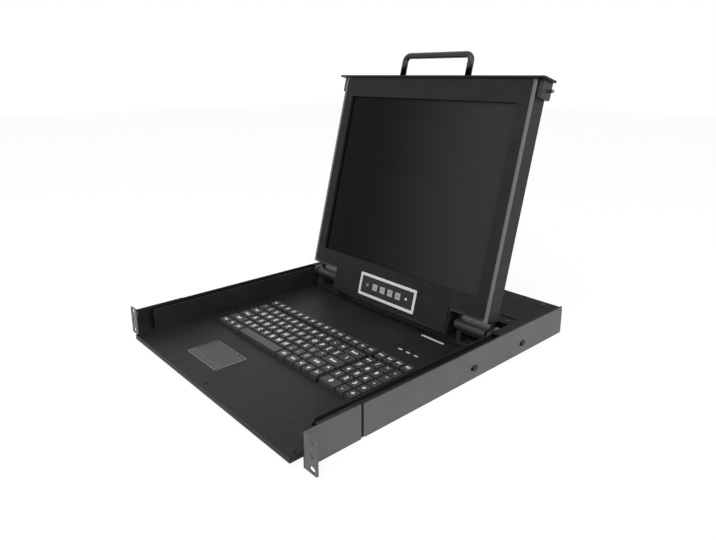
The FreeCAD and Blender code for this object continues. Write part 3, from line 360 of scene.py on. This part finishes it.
def moulded(name, dark, light, rough, texture_mm=0.9, depth_mm=0.02, gloss=0.5):
    """Moulded plastic: an even colour with the fine spark-eroded grain of its mould, drawn somewhat
    coarser than the real 0.3 mm."""
    flow_mm = 30
    finish, tree, shader = new_finish(name, {"IOR": 1.49, "Specular IOR Level": gloss})
    flow = between(tree, grain(tree, flow_mm, detail=2), 0, 1)
    tree.links.new(two_tone(tree, flow, dark, light), shader.inputs["Base Color"])
    spark = grain(tree, texture_mm, detail=4)
    tree.links.new(between(tree, spark, rough - 0.05, rough + 0.06), shader.inputs["Roughness"])
    relief(tree, shader, spark, depth_mm, strength=0.5)
    return finish


cap_tree, given = new_tree("key_cap", {"Width": 0.0158, "Depth": 0.0168, "Foot": -0.0153, "Rise": 0.0072,
                                       "Draft": 0.0011, "Shoulder": 0.0008, "Corner": 0.0011, "Dish": 0.0004})
outline = add_node(cap_tree, "GeometryNodeCurvePrimitiveQuadrilateral",
                   links={"Width": given["Width"], "Height": given["Depth"]})
rounded = add_node(cap_tree, "GeometryNodeFilletCurve", {"Count": 3},
                   {"Curve": outline.outputs[0], "Radius": given["Corner"]}, mode="POLY")
sheet = add_node(cap_tree, "GeometryNodeFillCurve", links={"Curve": rounded.outputs[0]}, mode="NGONS")


def drawn_in(mesh, top, amount):
    """Move a face's points towards the cap's two middle planes by an amount."""
    where = add_node(cap_tree, "GeometryNodeInputPosition")
    split = add_node(cap_tree, "ShaderNodeSeparateXYZ", links={"Vector": where.outputs[0]})
    inward = add_node(cap_tree, "ShaderNodeCombineXYZ")
    for axis in "XY":
        sign = add_node(cap_tree, "ShaderNodeMath", links={0: split.outputs[axis]}, operation="SIGN")
        step = add_node(cap_tree, "ShaderNodeMath", links={0: sign.outputs[0], 1: amount},
                        operation="MULTIPLY")
        cap_tree.links.new(times(cap_tree, step.outputs[0], -1), inward.inputs[axis])
    return add_node(cap_tree, "GeometryNodeSetPosition", links={"Geometry": mesh, "Selection": top,
                                                                "Offset": inward.outputs[0]}).outputs[0]


shell, top = sheet.outputs[0], None
for rise, inset in ((given["Rise"], given["Draft"]), (given["Shoulder"], given["Shoulder"])):
    links = {"Mesh": shell, "Offset Scale": rise}
    if top:
        links["Selection"] = top
    stage_up = add_node(cap_tree, "GeometryNodeExtrudeMesh", {"Individual": False}, links)
    top = stage_up.outputs["Top"]
    shell = drawn_in(stage_up.outputs["Mesh"], top, inset)
hollow = add_node(cap_tree, "GeometryNodeExtrudeMesh", {"Individual": False},
                  {"Mesh": shell, "Selection": top, "Offset Scale": times(cap_tree, given["Dish"], -1)})
dished = drawn_in(hollow.outputs["Mesh"], hollow.outputs["Top"], times(cap_tree, given["Dish"], 4))
under = add_node(cap_tree, "GeometryNodeFlipFaces", links={"Mesh": sheet.outputs[0]})
whole = add_node(cap_tree, "GeometryNodeJoinGeometry")
for part in (under.outputs[0], dished):
    cap_tree.links.new(part, whole.inputs[0])
closed = add_node(cap_tree, "GeometryNodeMergeByDistance", {"Distance": 1e-6},
                  {"Geometry": whole.outputs[0]})
end_tree(cap_tree, given, lifted(cap_tree, closed.outputs[0], given["Foot"]))

key_unit, key_row, key_gap = 17.3, 19.0, 1.5
key_left, key_front, key_foot, key_top = -166.5, 112, 6.5, 14.6
function_gap, pad_gap = 5, 4.325
draft, shoulder, corner, dish = 1.0, 0.8, 1.1, 0.4
top_inset, letter_wide = 3.2, 0.64     # a cap's slope on each side, and a letter's share of its size
# Each row: the row's name, then (width in key units, legend), with a gap before the number pad.
key_rows = [
    ("space", [(1.25, "Ctrl"), (1, "Fn"), (1.25, "Alt"), (6, ""), (1.25, "Alt"), (1.25, "Ctrl"), (1, "<"),
               (1, "v"), (1, ">"), None, (2, "0"), (1, "."), (1, "+")]),
    ("lower", [(2.25, "Shift")] + [(1, c) for c in "ZXCVBNM,./"] + [(1.75, "Shift"), (1, "^"), None]
              + [(1, c) for c in "123+"]),
    ("home", [(1.75, "Caps")] + [(1, c) for c in "ASDFGHJKL;'"] + [(2.25, "Enter"), None]
             + [(1, c) for c in "456-"]),
    ("upper", [(1.5, "Tab")] + [(1, c) for c in "QWERTYUIOP[]"] + [(1.5, "\\"), None]
              + [(1, c) for c in "789*"]),
    ("number", [(1, c) for c in "`1234567890-="] + [(2, "Back"), None]
               + [(1, c) for c in ("Num", "/", "*", "-")]),
    ("function", [(1, "Esc")] + [(1, "F%d" % n) for n in range(1, 13)] + [(1, "Ins"), (1, "Del"), None]
                 + [(1, c) for c in ("Hom", "End", "PU", "PD")]),
]
cap_plastic = moulded("moulded_black_abs_key_caps", "323232", "393939", 0.42, 1.1)
legend_ink = moulded("white_legend_ink", "e6e6e6", "f0f0f0", 0.55, 0.8, 0.005)


def printed(words, size_mm, bold_mm=0.0):
    """Letters as a thin flat mesh, centred on the origin and facing up."""
    ink_mm = 0.05
    text = bpy.data.curves.new("print", "FONT")
    text.body = words
    text.size = size_mm * MM
    text.align_x = "CENTER"
    text.align_y = "CENTER"
    text.extrude = ink_mm * MM / 2
    text.resolution_u = 2
    text.offset = bold_mm * MM
    holder = bpy.data.objects.new("print", text)
    bpy.context.collection.objects.link(holder)
    graph = bpy.context.evaluated_depsgraph_get()
    mesh = bpy.data.meshes.new_from_object(holder.evaluated_get(graph))
    bpy.data.objects.remove(holder)
    return mesh


def joined(name, parts):
    """One mesh from (mesh, place) pairs."""
    whole = bmesh.new()
    for mesh, place in parts:
        start = len(whole.verts)
        whole.from_mesh(mesh)
        whole.verts.ensure_lookup_table()
        bmesh.ops.transform(whole, matrix=place, verts=whole.verts[start:])
    return as_mesh(name, whole)


# A single sign is set larger and bolder than a word, and a word stays inside its cap's top.
single_size, single_bold, word_size, word_bold = 9.5, 0.45, 6.4, 0.28
legend_level = (key_top - dish + 0.03) * MM + FLOOR
cap_sizes = dict(Depth=(key_row - key_gap) * MM, Foot=key_foot * MM + FLOOR,
                 Rise=(key_top - key_foot - shoulder) * MM, Draft=draft * MM, Shoulder=shoulder * MM,
                 Corner=corner * MM, Dish=dish * MM)
for level, (row, caps) in enumerate(key_rows):
    middle_y = key_front + (level + 0.5) * key_row + (function_gap if row == "function" else 0)
    across = key_left
    by_width, legends = {}, []
    for cap in caps:
        if cap is None:
            across += pad_gap
            continue
        width, words = cap
        middle_x = across + width * key_unit / 2
        by_width.setdefault(width, []).append(((middle_x * MM, middle_y * MM, 0), (0, 0, 1)))
        if words:
            single = len(words) == 1
            room = width * key_unit - key_gap - 2 * top_inset
            tall = min(single_size if single else word_size, room / (letter_wide * len(words)))
            label = printed(words, tall, bold_mm=single_bold if single else word_bold)
            spot = Vector((middle_x * MM, middle_y * MM, legend_level))
            legends.append((label, Matrix.Translation(spot)))
        across += width * key_unit
    body = "keys_%s_row" % row
    meshes = [(grown(cap_tree, spots, cap_plastic, Width=(width * key_unit - key_gap) * MM, **cap_sizes),
               Matrix()) for width, spots in by_width.items()]
    placed(body + "_caps", joined(body + "_caps", meshes), body, cap_plastic, [body])
    placed(body + "_legends", joined(body + "_legends", legends), body, legend_ink)

pan_plastic = moulded("moulded_black_abs_pan", "1a1a1a", "1f1f1f", 0.5)
formed("keyboard_base", "drawer", pan_plastic, moved=deeper)


# ---------------------------------------------------------------- touchpad
# A polyester-faced sensing pad under a charcoal film, and two moulded buttons along its front edge.
# A thin pale ring round them is a painted highlight of their edges.

pad_film = moulded("charcoal_polyester_pad_film", "3d3d3d", "434343", 0.5, 0.6, 0.004)
# Pale grey for the ring round the pad: a painted highlight of the pad's edges.
painted_pad_edge_highlight = moulded("pale_grey_painted_edge_highlight", "808080", "8a8a8a", 0.5, 0.6, 0.003)
pad_buttons = moulded("moulded_dark_grey_buttons", "3c3c3c", "424242", 0.42)
formed("touchpad", "drawer", pad_film, 0.25)
for side in ("left", "right"):
    formed("touchpad_button_" + side, "touchpad_button_" + side, pad_buttons, 0.35)


def ring_mesh(name, left, right, low, high, wide, base, thick, corner):
    """A closed flat band round a rectangle with rounded corners. Lengths in millimetres."""
    def loop(inset):
        points, radius = [], max(corner - inset, 0.3)
        for cx, cy, start in ((right, high, 0), (left, high, 90), (left, low, 180), (right, low, 270)):
            mx = cx - (inset + radius) * (1 if cx == right else -1)
            my = cy - (inset + radius) * (1 if cy == high else -1)
            for step in range(6):
                a = radians(start + 18 * step)
                points.append((mx + radius * cos(a), my + radius * sin(a)))
        return points
    shape = bmesh.new()
    walls = [[shape.verts.new((x * MM, y * MM, z * MM)) for x, y in loop(inset)]
             for inset, z in ((0, base), (0, base + thick), (wide, base + thick), (wide, base))]
    count = len(walls[0])
    for i in range(4):
        a, b = walls[i], walls[(i + 1) % 4]
        for j in range(count):
            k = (j + 1) % count
            shape.faces.new((a[j], a[k], b[k], b[j]))
    bmesh.ops.recalc_face_normals(shape, faces=shape.faces)
    return as_mesh(name, shape)


# A thin pale ring round the pad and its buttons, at the deck: a painted highlight of their edges.
painted_highlight_ring = ring_mesh("touchpad_painted_edge_highlight", left=-105.9, right=-23.1, low=28.1, high=78.9, wide=1.2,
                   base=deck_level / MM - 0.02, thick=0.08, corner=3)
placed("touchpad_painted_edge_highlight", painted_highlight_ring, "drawer", painted_pad_edge_highlight)


# ---------------------------------------------------------------- lamps in the deck
# Clear acrylic windows over white lamps: three for the locks and one long bar for the status.
# They are moulded and pressed into the deck's openings.

window_clear, tree, shader = new_finish("lit_clear_acrylic", {"Roughness": 0.18, "IOR": 1.49})
cloud = between(tree, grain(tree, 3, detail=2), 0, 1)
tree.links.new(two_tone(tree, cloud, "c9ccce", "d8dadc"), shader.inputs["Base Color"])
formed("indicator_windows", "drawer", window_clear, 0.1)


# ---------------------------------------------------------------- rear electronics
# The power unit is a folded galvanised case. The boards are glass-epoxy under a green solder mask
# that shows their tracks. The inlet, the switch and the ports are held by the rear panel.

galvanised, tree, shader = new_finish("galvanised_sheet_steel", {"Metallic": 1})
spangle_mm = 7
spangle = add_node(tree, "ShaderNodeTexVoronoi", {"Scale": 1 / (spangle_mm * MM)},
                   {"Vector": add_node(tree, "ShaderNodeTexCoord").outputs["Object"]})
tree.links.new(two_tone(tree, spangle.outputs["Distance"], "9a9ea1", "b9bcbf"), shader.inputs["Base Color"])
tree.links.new(between(tree, spangle.outputs["Distance"], 0.34, 0.5, 0, 1), shader.inputs["Roughness"])
formed("power_unit", "drawer", galvanised, 0.4)

solder_mask, tree, shader = new_finish("green_solder_mask_on_glass_epoxy", {"Roughness": 0.3})
place = add_node(tree, "ShaderNodeTexCoord").outputs["Object"]
tracks = add_node(tree, "ShaderNodeTexBrick", {"Color1": linear("1d4a2c"), "Color2": linear("235634"),
                                               "Mortar": linear("2f6a41"), "Scale": 1.0,
                                               "Brick Width": 14 * MM, "Row Height": 3 * MM,
                                               "Mortar Size": 0.35 * MM}, {"Vector": place})
tree.links.new(tracks.outputs["Color"], shader.inputs["Base Color"])
give(["main_board", "screen_board", "control_board"], solder_mask)

inlet_plastic = moulded("moulded_black_nylon_inlet", "18181a", "1d1d1f", 0.4)
trim_white = moulded("white_moulded_port_tongues", "d0d0d0", "d8d8d8", 0.45)
rocker_plastic = moulded("moulded_black_rocker", "141416", "19191b", 0.3)
nickel_shell = plated_steel("nickel_plated_port_shells", "b4b3ae", "c9c8c3", 0.26)
formed("power_inlet", "drawer", inlet_plastic, 0.3)
formed("power_switch", "power_switch", rocker_plastic, 0.3)
formed("signal_ports", "drawer", nickel_shell, 0.15)

# The screen plug has three rows of five gilt pins in a black block, and two hexagonal jack screws.
# One tree makes both from the number of sides, the radius and the length.
post_tree, given = new_tree("connector_post",
                            {"Sides": 12, "Radius": 0.0004, "Length": 0.0045, "Bevel": 0.0001})
sides = add_node(post_tree, "FunctionNodeFloatToInt", links={"Float": given["Sides"]})
shaft = add_node(post_tree, "GeometryNodeMeshCylinder",
                 links={"Vertices": sides.outputs[0], "Radius": given["Radius"],
                        "Depth": given["Length"]}, fill_type="NGON")
standing = lifted(post_tree, shaft.outputs["Mesh"], times(post_tree, given["Length"], 0.5))
nose = add_node(post_tree, "GeometryNodeExtrudeMesh", {"Individual": False},
                {"Mesh": standing, "Selection": shaft.outputs["Top"], "Offset Scale": given["Bevel"]})
tapered = add_node(post_tree, "GeometryNodeScaleElements", {"Scale": 0.8},
                   {"Geometry": nose.outputs["Mesh"], "Selection": nose.outputs["Top"]})
end_tree(post_tree, given, tapered.outputs[0])

plug_middle, plug_height, plug_face = -40 * MM, 17.6 * MM + FLOOR, 509.4 * MM
backwards = (0, 1, 0)
pin_pitch, pin_row, pin_shift, jack_aside = 2.3 * MM, 2.1 * MM, 0.55 * MM, 12.5 * MM
pin_gold = plated_steel("gold_plated_pins", "b9923c", "caa650", 0.25)
pins = grown(post_tree, [((plug_middle + pin_pitch * (i - 2) + (pin_shift if row else -pin_shift),
                           plug_face - sunk_in, plug_height + pin_row * row), backwards)
                         for row in (-1, 0, 1) for i in range(5)],
             pin_gold, Sides=12, Radius=0.38 * MM, Length=0.9 * MM, Bevel=0.1 * MM)
placed("screen_plug_pins", pins, "drawer", pin_gold)
jacks = grown(post_tree, [((plug_middle + side * jack_aside, plug_face - sunk_in, plug_height), backwards)
                          for side in (1, -1)],
              nickel_shell, Sides=6, Radius=2.3 * MM, Length=1.6 * MM, Bevel=0.4 * MM)
placed("screen_plug_jack_screws", jacks, "drawer", nickel_shell)


def solid_prism(name, outline, low, high, place):
    """A closed prism over an outline in millimetres, with its faces outwards."""
    shape = bmesh.new()
    rims = [[shape.verts.new(place @ Vector((x * MM, y * MM, z * MM))) for x, y in outline]
            for z in (low, high)]
    shape.faces.new(rims[0][::-1])
    shape.faces.new(rims[1])
    for i in range(len(outline)):
        j = (i + 1) % len(outline)
        shape.faces.new((rims[0][i], rims[0][j], rims[1][j], rims[1][i]))
    bmesh.ops.recalc_face_normals(shape, faces=shape.faces)
    return as_mesh(name, shape)


# Rear places are read with x to the right and y upwards, and with z out of the panel. A sign's x
# runs the other way, so that it reads from behind.
panel_back = 506 * MM
rear_turn = Matrix(((1, 0, 0, 0), (0, 0, 1, 0), (0, 1, 0, 0), (0, 0, 0, 1)))
sign_turn = Matrix(((-1, 0, 0, 0), (0, 0, 1, 0), (0, 1, 0, 0), (0, 0, 0, 1)))
plug_place = Matrix.Translation(Vector((plug_middle, plug_face, plug_height))) @ rear_turn
plug_block = solid_prism("screen_plug_block", [(-6.6, -3.4), (6.6, -3.4), (7.7, 3.4), (-7.7, 3.4)],
                         low=-0.5, high=0.12, place=plug_place)
placed("screen_plug_block", plug_block, "drawer", inlet_plastic)
tongue_outline = [(-4.6, -0.75), (4.6, -0.75), (4.6, 0.75), (-4.6, 0.75)]
tongue_height = 14.65 * MM + FLOOR
tongues = []
for away in (36, 60):
    spot = Matrix.Translation(Vector((plug_middle - away * MM, panel_back, tongue_height)))
    tongue = solid_prism("tongue", tongue_outline, low=-2, high=0.25, place=spot @ rear_turn)
    tongues.append((tongue, Matrix()))
placed("data_port_tongues", joined("data_port_tongues", tongues), "drawer", trim_white)

# The inlet's, the switch's and the plugs' signs are printed on the panel in plain letters.
sign_size, sign_level = 4.2, panel_back + 0.03 * MM
signs = []
for words, x, z in (("AC IN", 150, 39.2), ("VGA", -40, 28.5), ("1", -76, 21.5), ("2", -100, 21.5),
                    ("I", 180, 39.2)):
    spot = Matrix.Translation(Vector((x * MM, sign_level, z * MM + FLOOR)))
    signs.append((printed(words, sign_size, bold_mm=0.06), spot @ sign_turn))
placed("rear_panel_signs", joined("rear_panel_signs", signs), "drawer", legend_ink)

panel_spots = [(x, z) for x in (-196, 196) for z in (10, 36)] + [(66, 38), (-120, 38)]
screw_heads("rear_panel_screws", [((x * MM, panel_back - sunk_in, z * MM + FLOOR), backwards)
                                  for x, z in panel_spots], "drawer", 2.8, 0.7, 0.6)


# ---------------------------------------------------------------- hinges
# Cast zinc blocks, painted black, stand on the tray's floor and hold ground steel pins. The lid's
# steel arms turn on the pins with a stiff grip, so the lid stays where it is put.

cast_black = powder_coat("black_paint_on_cast_zinc", "2c2c2c", "343434", 0.45, 1.0, 0.45)
ground_pin = plated_steel("ground_steel_pins", "b0b3b6", "c4c6c8", 0.2)
arm_plate = plated_steel("black_zinc_hinge_arms", "303031", "3f3f40", 0.42)
for side in ("right", "left"):
    formed("hinge_block_" + side, "drawer", cast_black, 0.5)
give(["hinge_pins"], ground_pin)
formed("hinge_arms", "lid", arm_plate, 0.2)


# ---------------------------------------------------------------- lid
# The back cover is a pressed steel pan, sprayed satin black. A moulded bezel closes its front, and
# the screen stands between them on four bosses behind a sheet of tempered glass.

# Lid sizes are read up the lid and out of the screen, from the hinge's axis.
hinge_back, hinge_up, lid_turn = 355.3 * MM, 38.1 * MM + FLOOR, radians(75.6)
lid_place = Matrix.Translation(Vector((0, hinge_back, hinge_up))) @ Matrix.Rotation(lid_turn, 4, "X")
window_wider, window_lower, window_higher = 7 * MM, 10.5 * MM, 3.2 * MM
bezel_wider, bezel_higher, bezel_lower = 5 * MM, 8.5 * MM, 7.5 * MM


def wide_window(point):
    """The bezel's window shows the screen's black border, and its sides come near the lid's rim."""
    x, up_lid, out = lid_place.inverted() @ point
    from_middle, side = abs(x) / MM, 1 if x > 0 else -1
    height = up_lid / MM
    at_window, outer_part, at_side = 166 < from_middle < 173, from_middle > 129, from_middle > 186.4
    window_top, window_foot, at_top, at_foot = height > 300, height < 60, height > 349, 20 < height < 30
    if at_window:
        x += side * window_wider
        up_lid += window_higher if window_top else -window_lower if window_foot else 0
    elif outer_part:
        x += side * bezel_wider if at_side else 0
        up_lid += bezel_higher if at_top else -bezel_lower if at_foot else 0
    return lid_place @ Vector((x, up_lid, out))


lid_black = powder_coat("satin_black_lid_coat", "141414", "191919", 0.42, gloss=0.25)
# The rim's front: grey past the bezel's sides as a painted highlight of the lid's side edges, black
# elsewhere.
rim_painted_highlight, tree, shader = new_finish("painted_highlight_on_lid_rim_sides", {"IOR": 1.5})
spot = add_node(tree, "ShaderNodeSeparateXYZ",
                links={"Vector": add_node(tree, "ShaderNodeTexCoord").outputs["Object"]})
away = add_node(tree, "ShaderNodeMath", links={0: spot.outputs["X"]}, operation="ABSOLUTE")
highlight_starts = 192.5 * MM
at_side = add_node(tree, "ShaderNodeMath", {1: highlight_starts}, {0: away.outputs[0]},
                   operation="GREATER_THAN")
tree.links.new(two_tone(tree, at_side.outputs[0], "171717", "6a6a6a"), shader.inputs["Base Color"])
tree.links.new(between(tree, grain(tree, 9), 0.38, 0.48), shader.inputs["Roughness"])
bezel_abs = moulded("moulded_black_abs_bezel", "252525", "2b2b2b", 0.55, 1.0, gloss=0.1)
back_cover = formed("lid_back_cover", "lid", lid_black, 0.4)
formed("lid_bezel", "lid", bezel_abs, 0.4, moved=wide_window)
formed("screen_module", "lid", galvanised, 0.2)

# On the rim's front face a grey strip at each side is a painted highlight of the lid's rounded side edges;
# the rest of the rim stays black.
back_cover.data.materials.append(rim_painted_highlight)
out_of_screen = lid_place.to_3x3() @ Vector((0, 0, 1))
rim_out, rim_up = 20 * MM, 20 * MM
for face in back_cover.data.polygons:
    _, up_lid, out = lid_place.inverted() @ face.center
    if face.normal.dot(out_of_screen) > 0.9 and out > rim_out and up_lid > rim_up:
        face.material_index = 1

# Six pan-head screws hold the back cover to the bezel's bosses, and their heads show on the back.
head_foot = -5.6 * MM + sunk_in
screw_heads("lid_cover_screws", [(lid_place @ Vector((x * MM, y * MM, head_foot)), -out_of_screen)
                                 for x in (-192, 0, 192) for y in (60, 340)], "lid", 3.0, 0.9, 0.9)

# The glass has a coating against reflections. Its colour is painted lighter towards its right side, a painted
# reflection of stray light.
tempered, tree, shader = new_finish("coated_glass_over_dark_screen",
                                    {"Roughness": 0.2, "IOR": 1.5, "Specular IOR Level": 0.05})
spot = add_node(tree, "ShaderNodeSeparateXYZ",
                links={"Vector": add_node(tree, "ShaderNodeTexCoord").outputs["Object"]})
painted_reflection_starts, painted_reflection_full = -130 * MM, 200 * MM
painted_reflection = add_node(tree, "ShaderNodeMapRange", {"From Min": painted_reflection_starts, "From Max": painted_reflection_full},
                {"Value": spot.outputs["X"]}, interpolation_type="SMOOTHSTEP")
tree.links.new(two_tone(tree, painted_reflection.outputs[0], "0e0e0e", "363636"), shader.inputs["Base Color"])
formed("screen_glass", "lid", tempered, 0.1, moved=wide_window)


# ---------------------------------------------------------------- control panel
# A dark polyester overlay inside a pale moulded frame, with five square keys and one lamp for the
# screen's settings. The first key is dark and the others are pale.

overlay_film = moulded("dark_polyester_overlay", "161616", "1b1b1b", 0.5, 0.6, 0.004)
trim_plastic = moulded("white_moulded_trim", "dedede", "e6e6e6", 0.45)
pale_keys = moulded("pale_grey_moulded_buttons", "a8a8a8", "b4b4b4", 0.45)
dark_key = moulded("dark_moulded_button", "2e2e2e", "353535", 0.4)
formed("control_overlay", "lid", overlay_film, 0.2)


def inner_lip(point):
    """The frame's inner edge laps 1.3 mm further over the overlay than its foot does."""
    x, up_lid, out = lid_place.inverted() @ point
    half_wide, low, high, lap = 62 * MM, -10.1 * MM, 23.9 * MM, 1.3 * MM
    if abs(x) < half_wide and low < up_lid < high:
        x -= lap if x > 0 else -lap
        up_lid += lap if up_lid < 0 else -lap
    return lid_place @ Vector((x, up_lid, out))


formed("control_trim_ring", "lid", trim_plastic, 0.4, moved=inner_lip)
for number in range(1, 6):
    formed("control_button_%d" % number, "control_button_%d" % number,
           dark_key if number == 1 else pale_keys, 0.5)


# Marks are printed on the keys' faces, and the lamp has a clear domed lens.
mark_ink = moulded("black_mark_ink", "1a1a1a", "202020", 0.5, 0.6, 0.003)
key_pitch, key_middle, mark_level, mark_size = 18 * MM, 6.9 * MM, 24.42 * MM, 8
for number, mark in enumerate("=-+<>", start=1):
    name, across = "control_mark_%d" % number, (number - 3.5) * key_pitch
    spot = lid_place @ Matrix.Translation(Vector((across, key_middle, mark_level)))
    placed(name, joined(name, [(printed(mark, mark_size), spot)]), "control_button_%d" % number,
           legend_ink if number == 1 else mark_ink)


def lens_mesh(name, radius, rise, place, rings=6, around=24):
    """A shallow dome with a flat foot, in metres."""
    def on_dome(turn, climb):
        level = radius * cos(climb)
        return place @ Vector((level * cos(turn), level * sin(turn), rise * sin(climb)))
    dome = bmesh.new()
    levels = [[dome.verts.new(on_dome(2 * pi * j / around, pi / 2 * i / rings)) for j in range(around)]
              for i in range(rings)]
    tip = dome.verts.new(place @ Vector((0, 0, rise)))
    dome.faces.new(levels[0][::-1])
    for j in range(around):
        k = (j + 1) % around
        for low, high in zip(levels, levels[1:]):
            dome.faces.new((low[j], low[k], high[k], high[j]))
        dome.faces.new((levels[-1][j], levels[-1][k], tip))
    mesh = as_mesh(name, dome)
    for face in mesh.polygons:
        face.use_smooth = len(face.vertices) < 5
    return mesh


lamp_across, lens_foot, lens_radius, lens_rise = 45 * MM, 23.1 * MM, 2.6 * MM, 1.6 * MM
lens_spot = lid_place @ Matrix.Translation(Vector((lamp_across, key_middle, lens_foot)))
placed("control_lamp_lens", lens_mesh("control_lamp_lens", lens_radius, lens_rise, lens_spot), "lid",
       window_clear)


# ---------------------------------------------------------------- front panel, handle and latches
# The panel is 3 mm steel, sprayed black. A round bar, enamelled and bent to a U, is screwed to it
# from behind, and a spring bolt at each end is drawn back by a ribbed thumb piece.

panel_coat = powder_coat("black_panel_coat", "0e0e0e", "131313", 0.4, gloss=0.25)
bar_paint = powder_coat("gloss_black_handle_enamel", "0e0e0e", "131313", 0.24, 3.0, 0.5)
latch_paint = powder_coat("black_paint_on_latch_castings", "161616", "1c1c1c", 0.42, 1.0)
bolt_steel = plated_steel("nickel_plated_bolts", "6f7173", "85878a", 0.3)
spring_wire = plated_steel("spring_steel_wire", "8c8d8e", "a4a5a6", 0.28)
formed("front_panel", "lid", panel_coat, 0.4)
handle_wider, bar_thicker = 2 * MM, 0.6 * MM


def spread_legs(point):
    """The handle's two legs stand a little further apart, and its bar is as much longer."""
    return Vector((point.x + (handle_wider if point.x > 0 else -handle_wider), point.y, point.z))


bar = formed("pull_handle", "lid", bar_paint, 0.4, moved=spread_legs)
thicker = bar.modifiers.new("thicker_bar", "DISPLACE")
thicker.strength = bar_thicker
thicker.mid_level = 0
give(["handle_screws"], black_zinc)
for side in ("right", "left"):
    formed("latch_housing_" + side, "lid", latch_paint, 0.4)
    formed("latch_bolt_" + side, "latch_bolt_" + side, bolt_steel, 0.2)
give(["latch_spring_right", "latch_spring_left"], spring_wire)


# ---------------------------------------------------------------- studio
# A plain white floor and surroundings, one broad soft lamp above and in front, and a fill on the
# right-hand side.

def seen_directly(tree):
    """One for what the camera, a mirror or a glass sees, and none for light that falls on the part."""
    path = add_node(tree, "ShaderNodeLightPath").outputs
    seen = path["Is Camera Ray"]
    for ray in ("Is Glossy Ray", "Is Transmission Ray"):
        seen = add_node(tree, "ShaderNodeMath", links={0: seen, 1: path[ray]}, operation="MAXIMUM").outputs[0]
    return seen


half_floor = 6
floor = bpy.data.meshes.new("floor")
floor.from_pydata([(x * half_floor, y * half_floor, FLOOR) for x, y in ((-1, -1), (1, -1), (1, 1), (-1, 1))],
                  [], [(0, 1, 2, 3)])
floor_piece = bpy.data.objects.new("floor", floor)
bpy.context.collection.objects.link(floor_piece)
white_paper, tree, shader = new_finish("white_paper_sweep", {"Base Color": linear("f2f2f2"),
                                                             "Roughness": 0.9, "Specular IOR Level": 0})
white = add_node(tree, "ShaderNodeEmission", {"Color": (1, 1, 1, 1), "Strength": 1.08})
paper = add_node(tree, "ShaderNodeMixShader", links={"Fac": times(tree, seen_directly(tree), 0.8),
                                                     1: shader.outputs[0], 2: white.outputs[0]})
tree.links.new(paper.outputs[0], tree.nodes["Material Output"].inputs["Surface"])
floor.materials.append(white_paper)

world = bpy.data.worlds.new("studio")
bpy.context.scene.world = world
world.use_nodes = True
tree = world.node_tree
tree.nodes.clear()
dim = add_node(tree, "ShaderNodeBackground", {"Color": (1, 1, 1, 1), "Strength": 0.6})
bright = add_node(tree, "ShaderNodeBackground", {"Color": (1, 1, 1, 1), "Strength": 1.0})
sky = add_node(tree, "ShaderNodeMixShader", links={"Fac": seen_directly(tree), 1: dim.outputs[0],
                                                   2: bright.outputs[0]})
add_node(tree, "ShaderNodeOutputWorld", links={"Surface": sky.outputs[0]})

# Each lamp: its name, where it stands, where it points, its width in metres and its power in watts.
for name, spot, aim, wide, power in (("key_lamp", (0.6, -1.4, 2.0), (0, 0.2, 0.1), 1.6, 26),
                                     ("side_lamp", (2.0, 0.3, 0.7), (0.2, 0.25, 0.05), 1.2, 11.5)):
    lamp = bpy.data.lights.new(name, "AREA")
    lamp.shape = "SQUARE"
    lamp.size = wide
    lamp.energy = power
    holder = bpy.data.objects.new(name, lamp)
    holder.location = spot
    holder.rotation_euler = (Vector(aim) - Vector(spot)).to_track_quat("-Z", "Y").to_euler()
    bpy.context.collection.objects.link(holder)

# The camera stands at the right front, a little above the drawer, and looks down across it.
camera = bpy.data.cameras.new("camera")
camera.sensor_width = 36
camera.lens = 29.77
camera.shift_y = -0.0593
viewer = bpy.data.objects.new("camera", camera)
right = Vector((0.66614429, 0.74582105, -0.00165599))
up = Vector((-0.18678211, 0.16897677, 0.96775994))
ahead = Vector((-0.72205556, 0.64435845, -0.25186894))
turn = Matrix((right, up, -ahead)).transposed().to_4x4()
stand = Vector((0.65965, -0.31681, 0.40230 + FLOOR))
viewer.matrix_world = Matrix.Translation(stand) @ turn
bpy.context.collection.objects.link(viewer)
bpy.context.scene.camera = viewer
bpy.context.scene.view_settings.view_transform = "Standard"
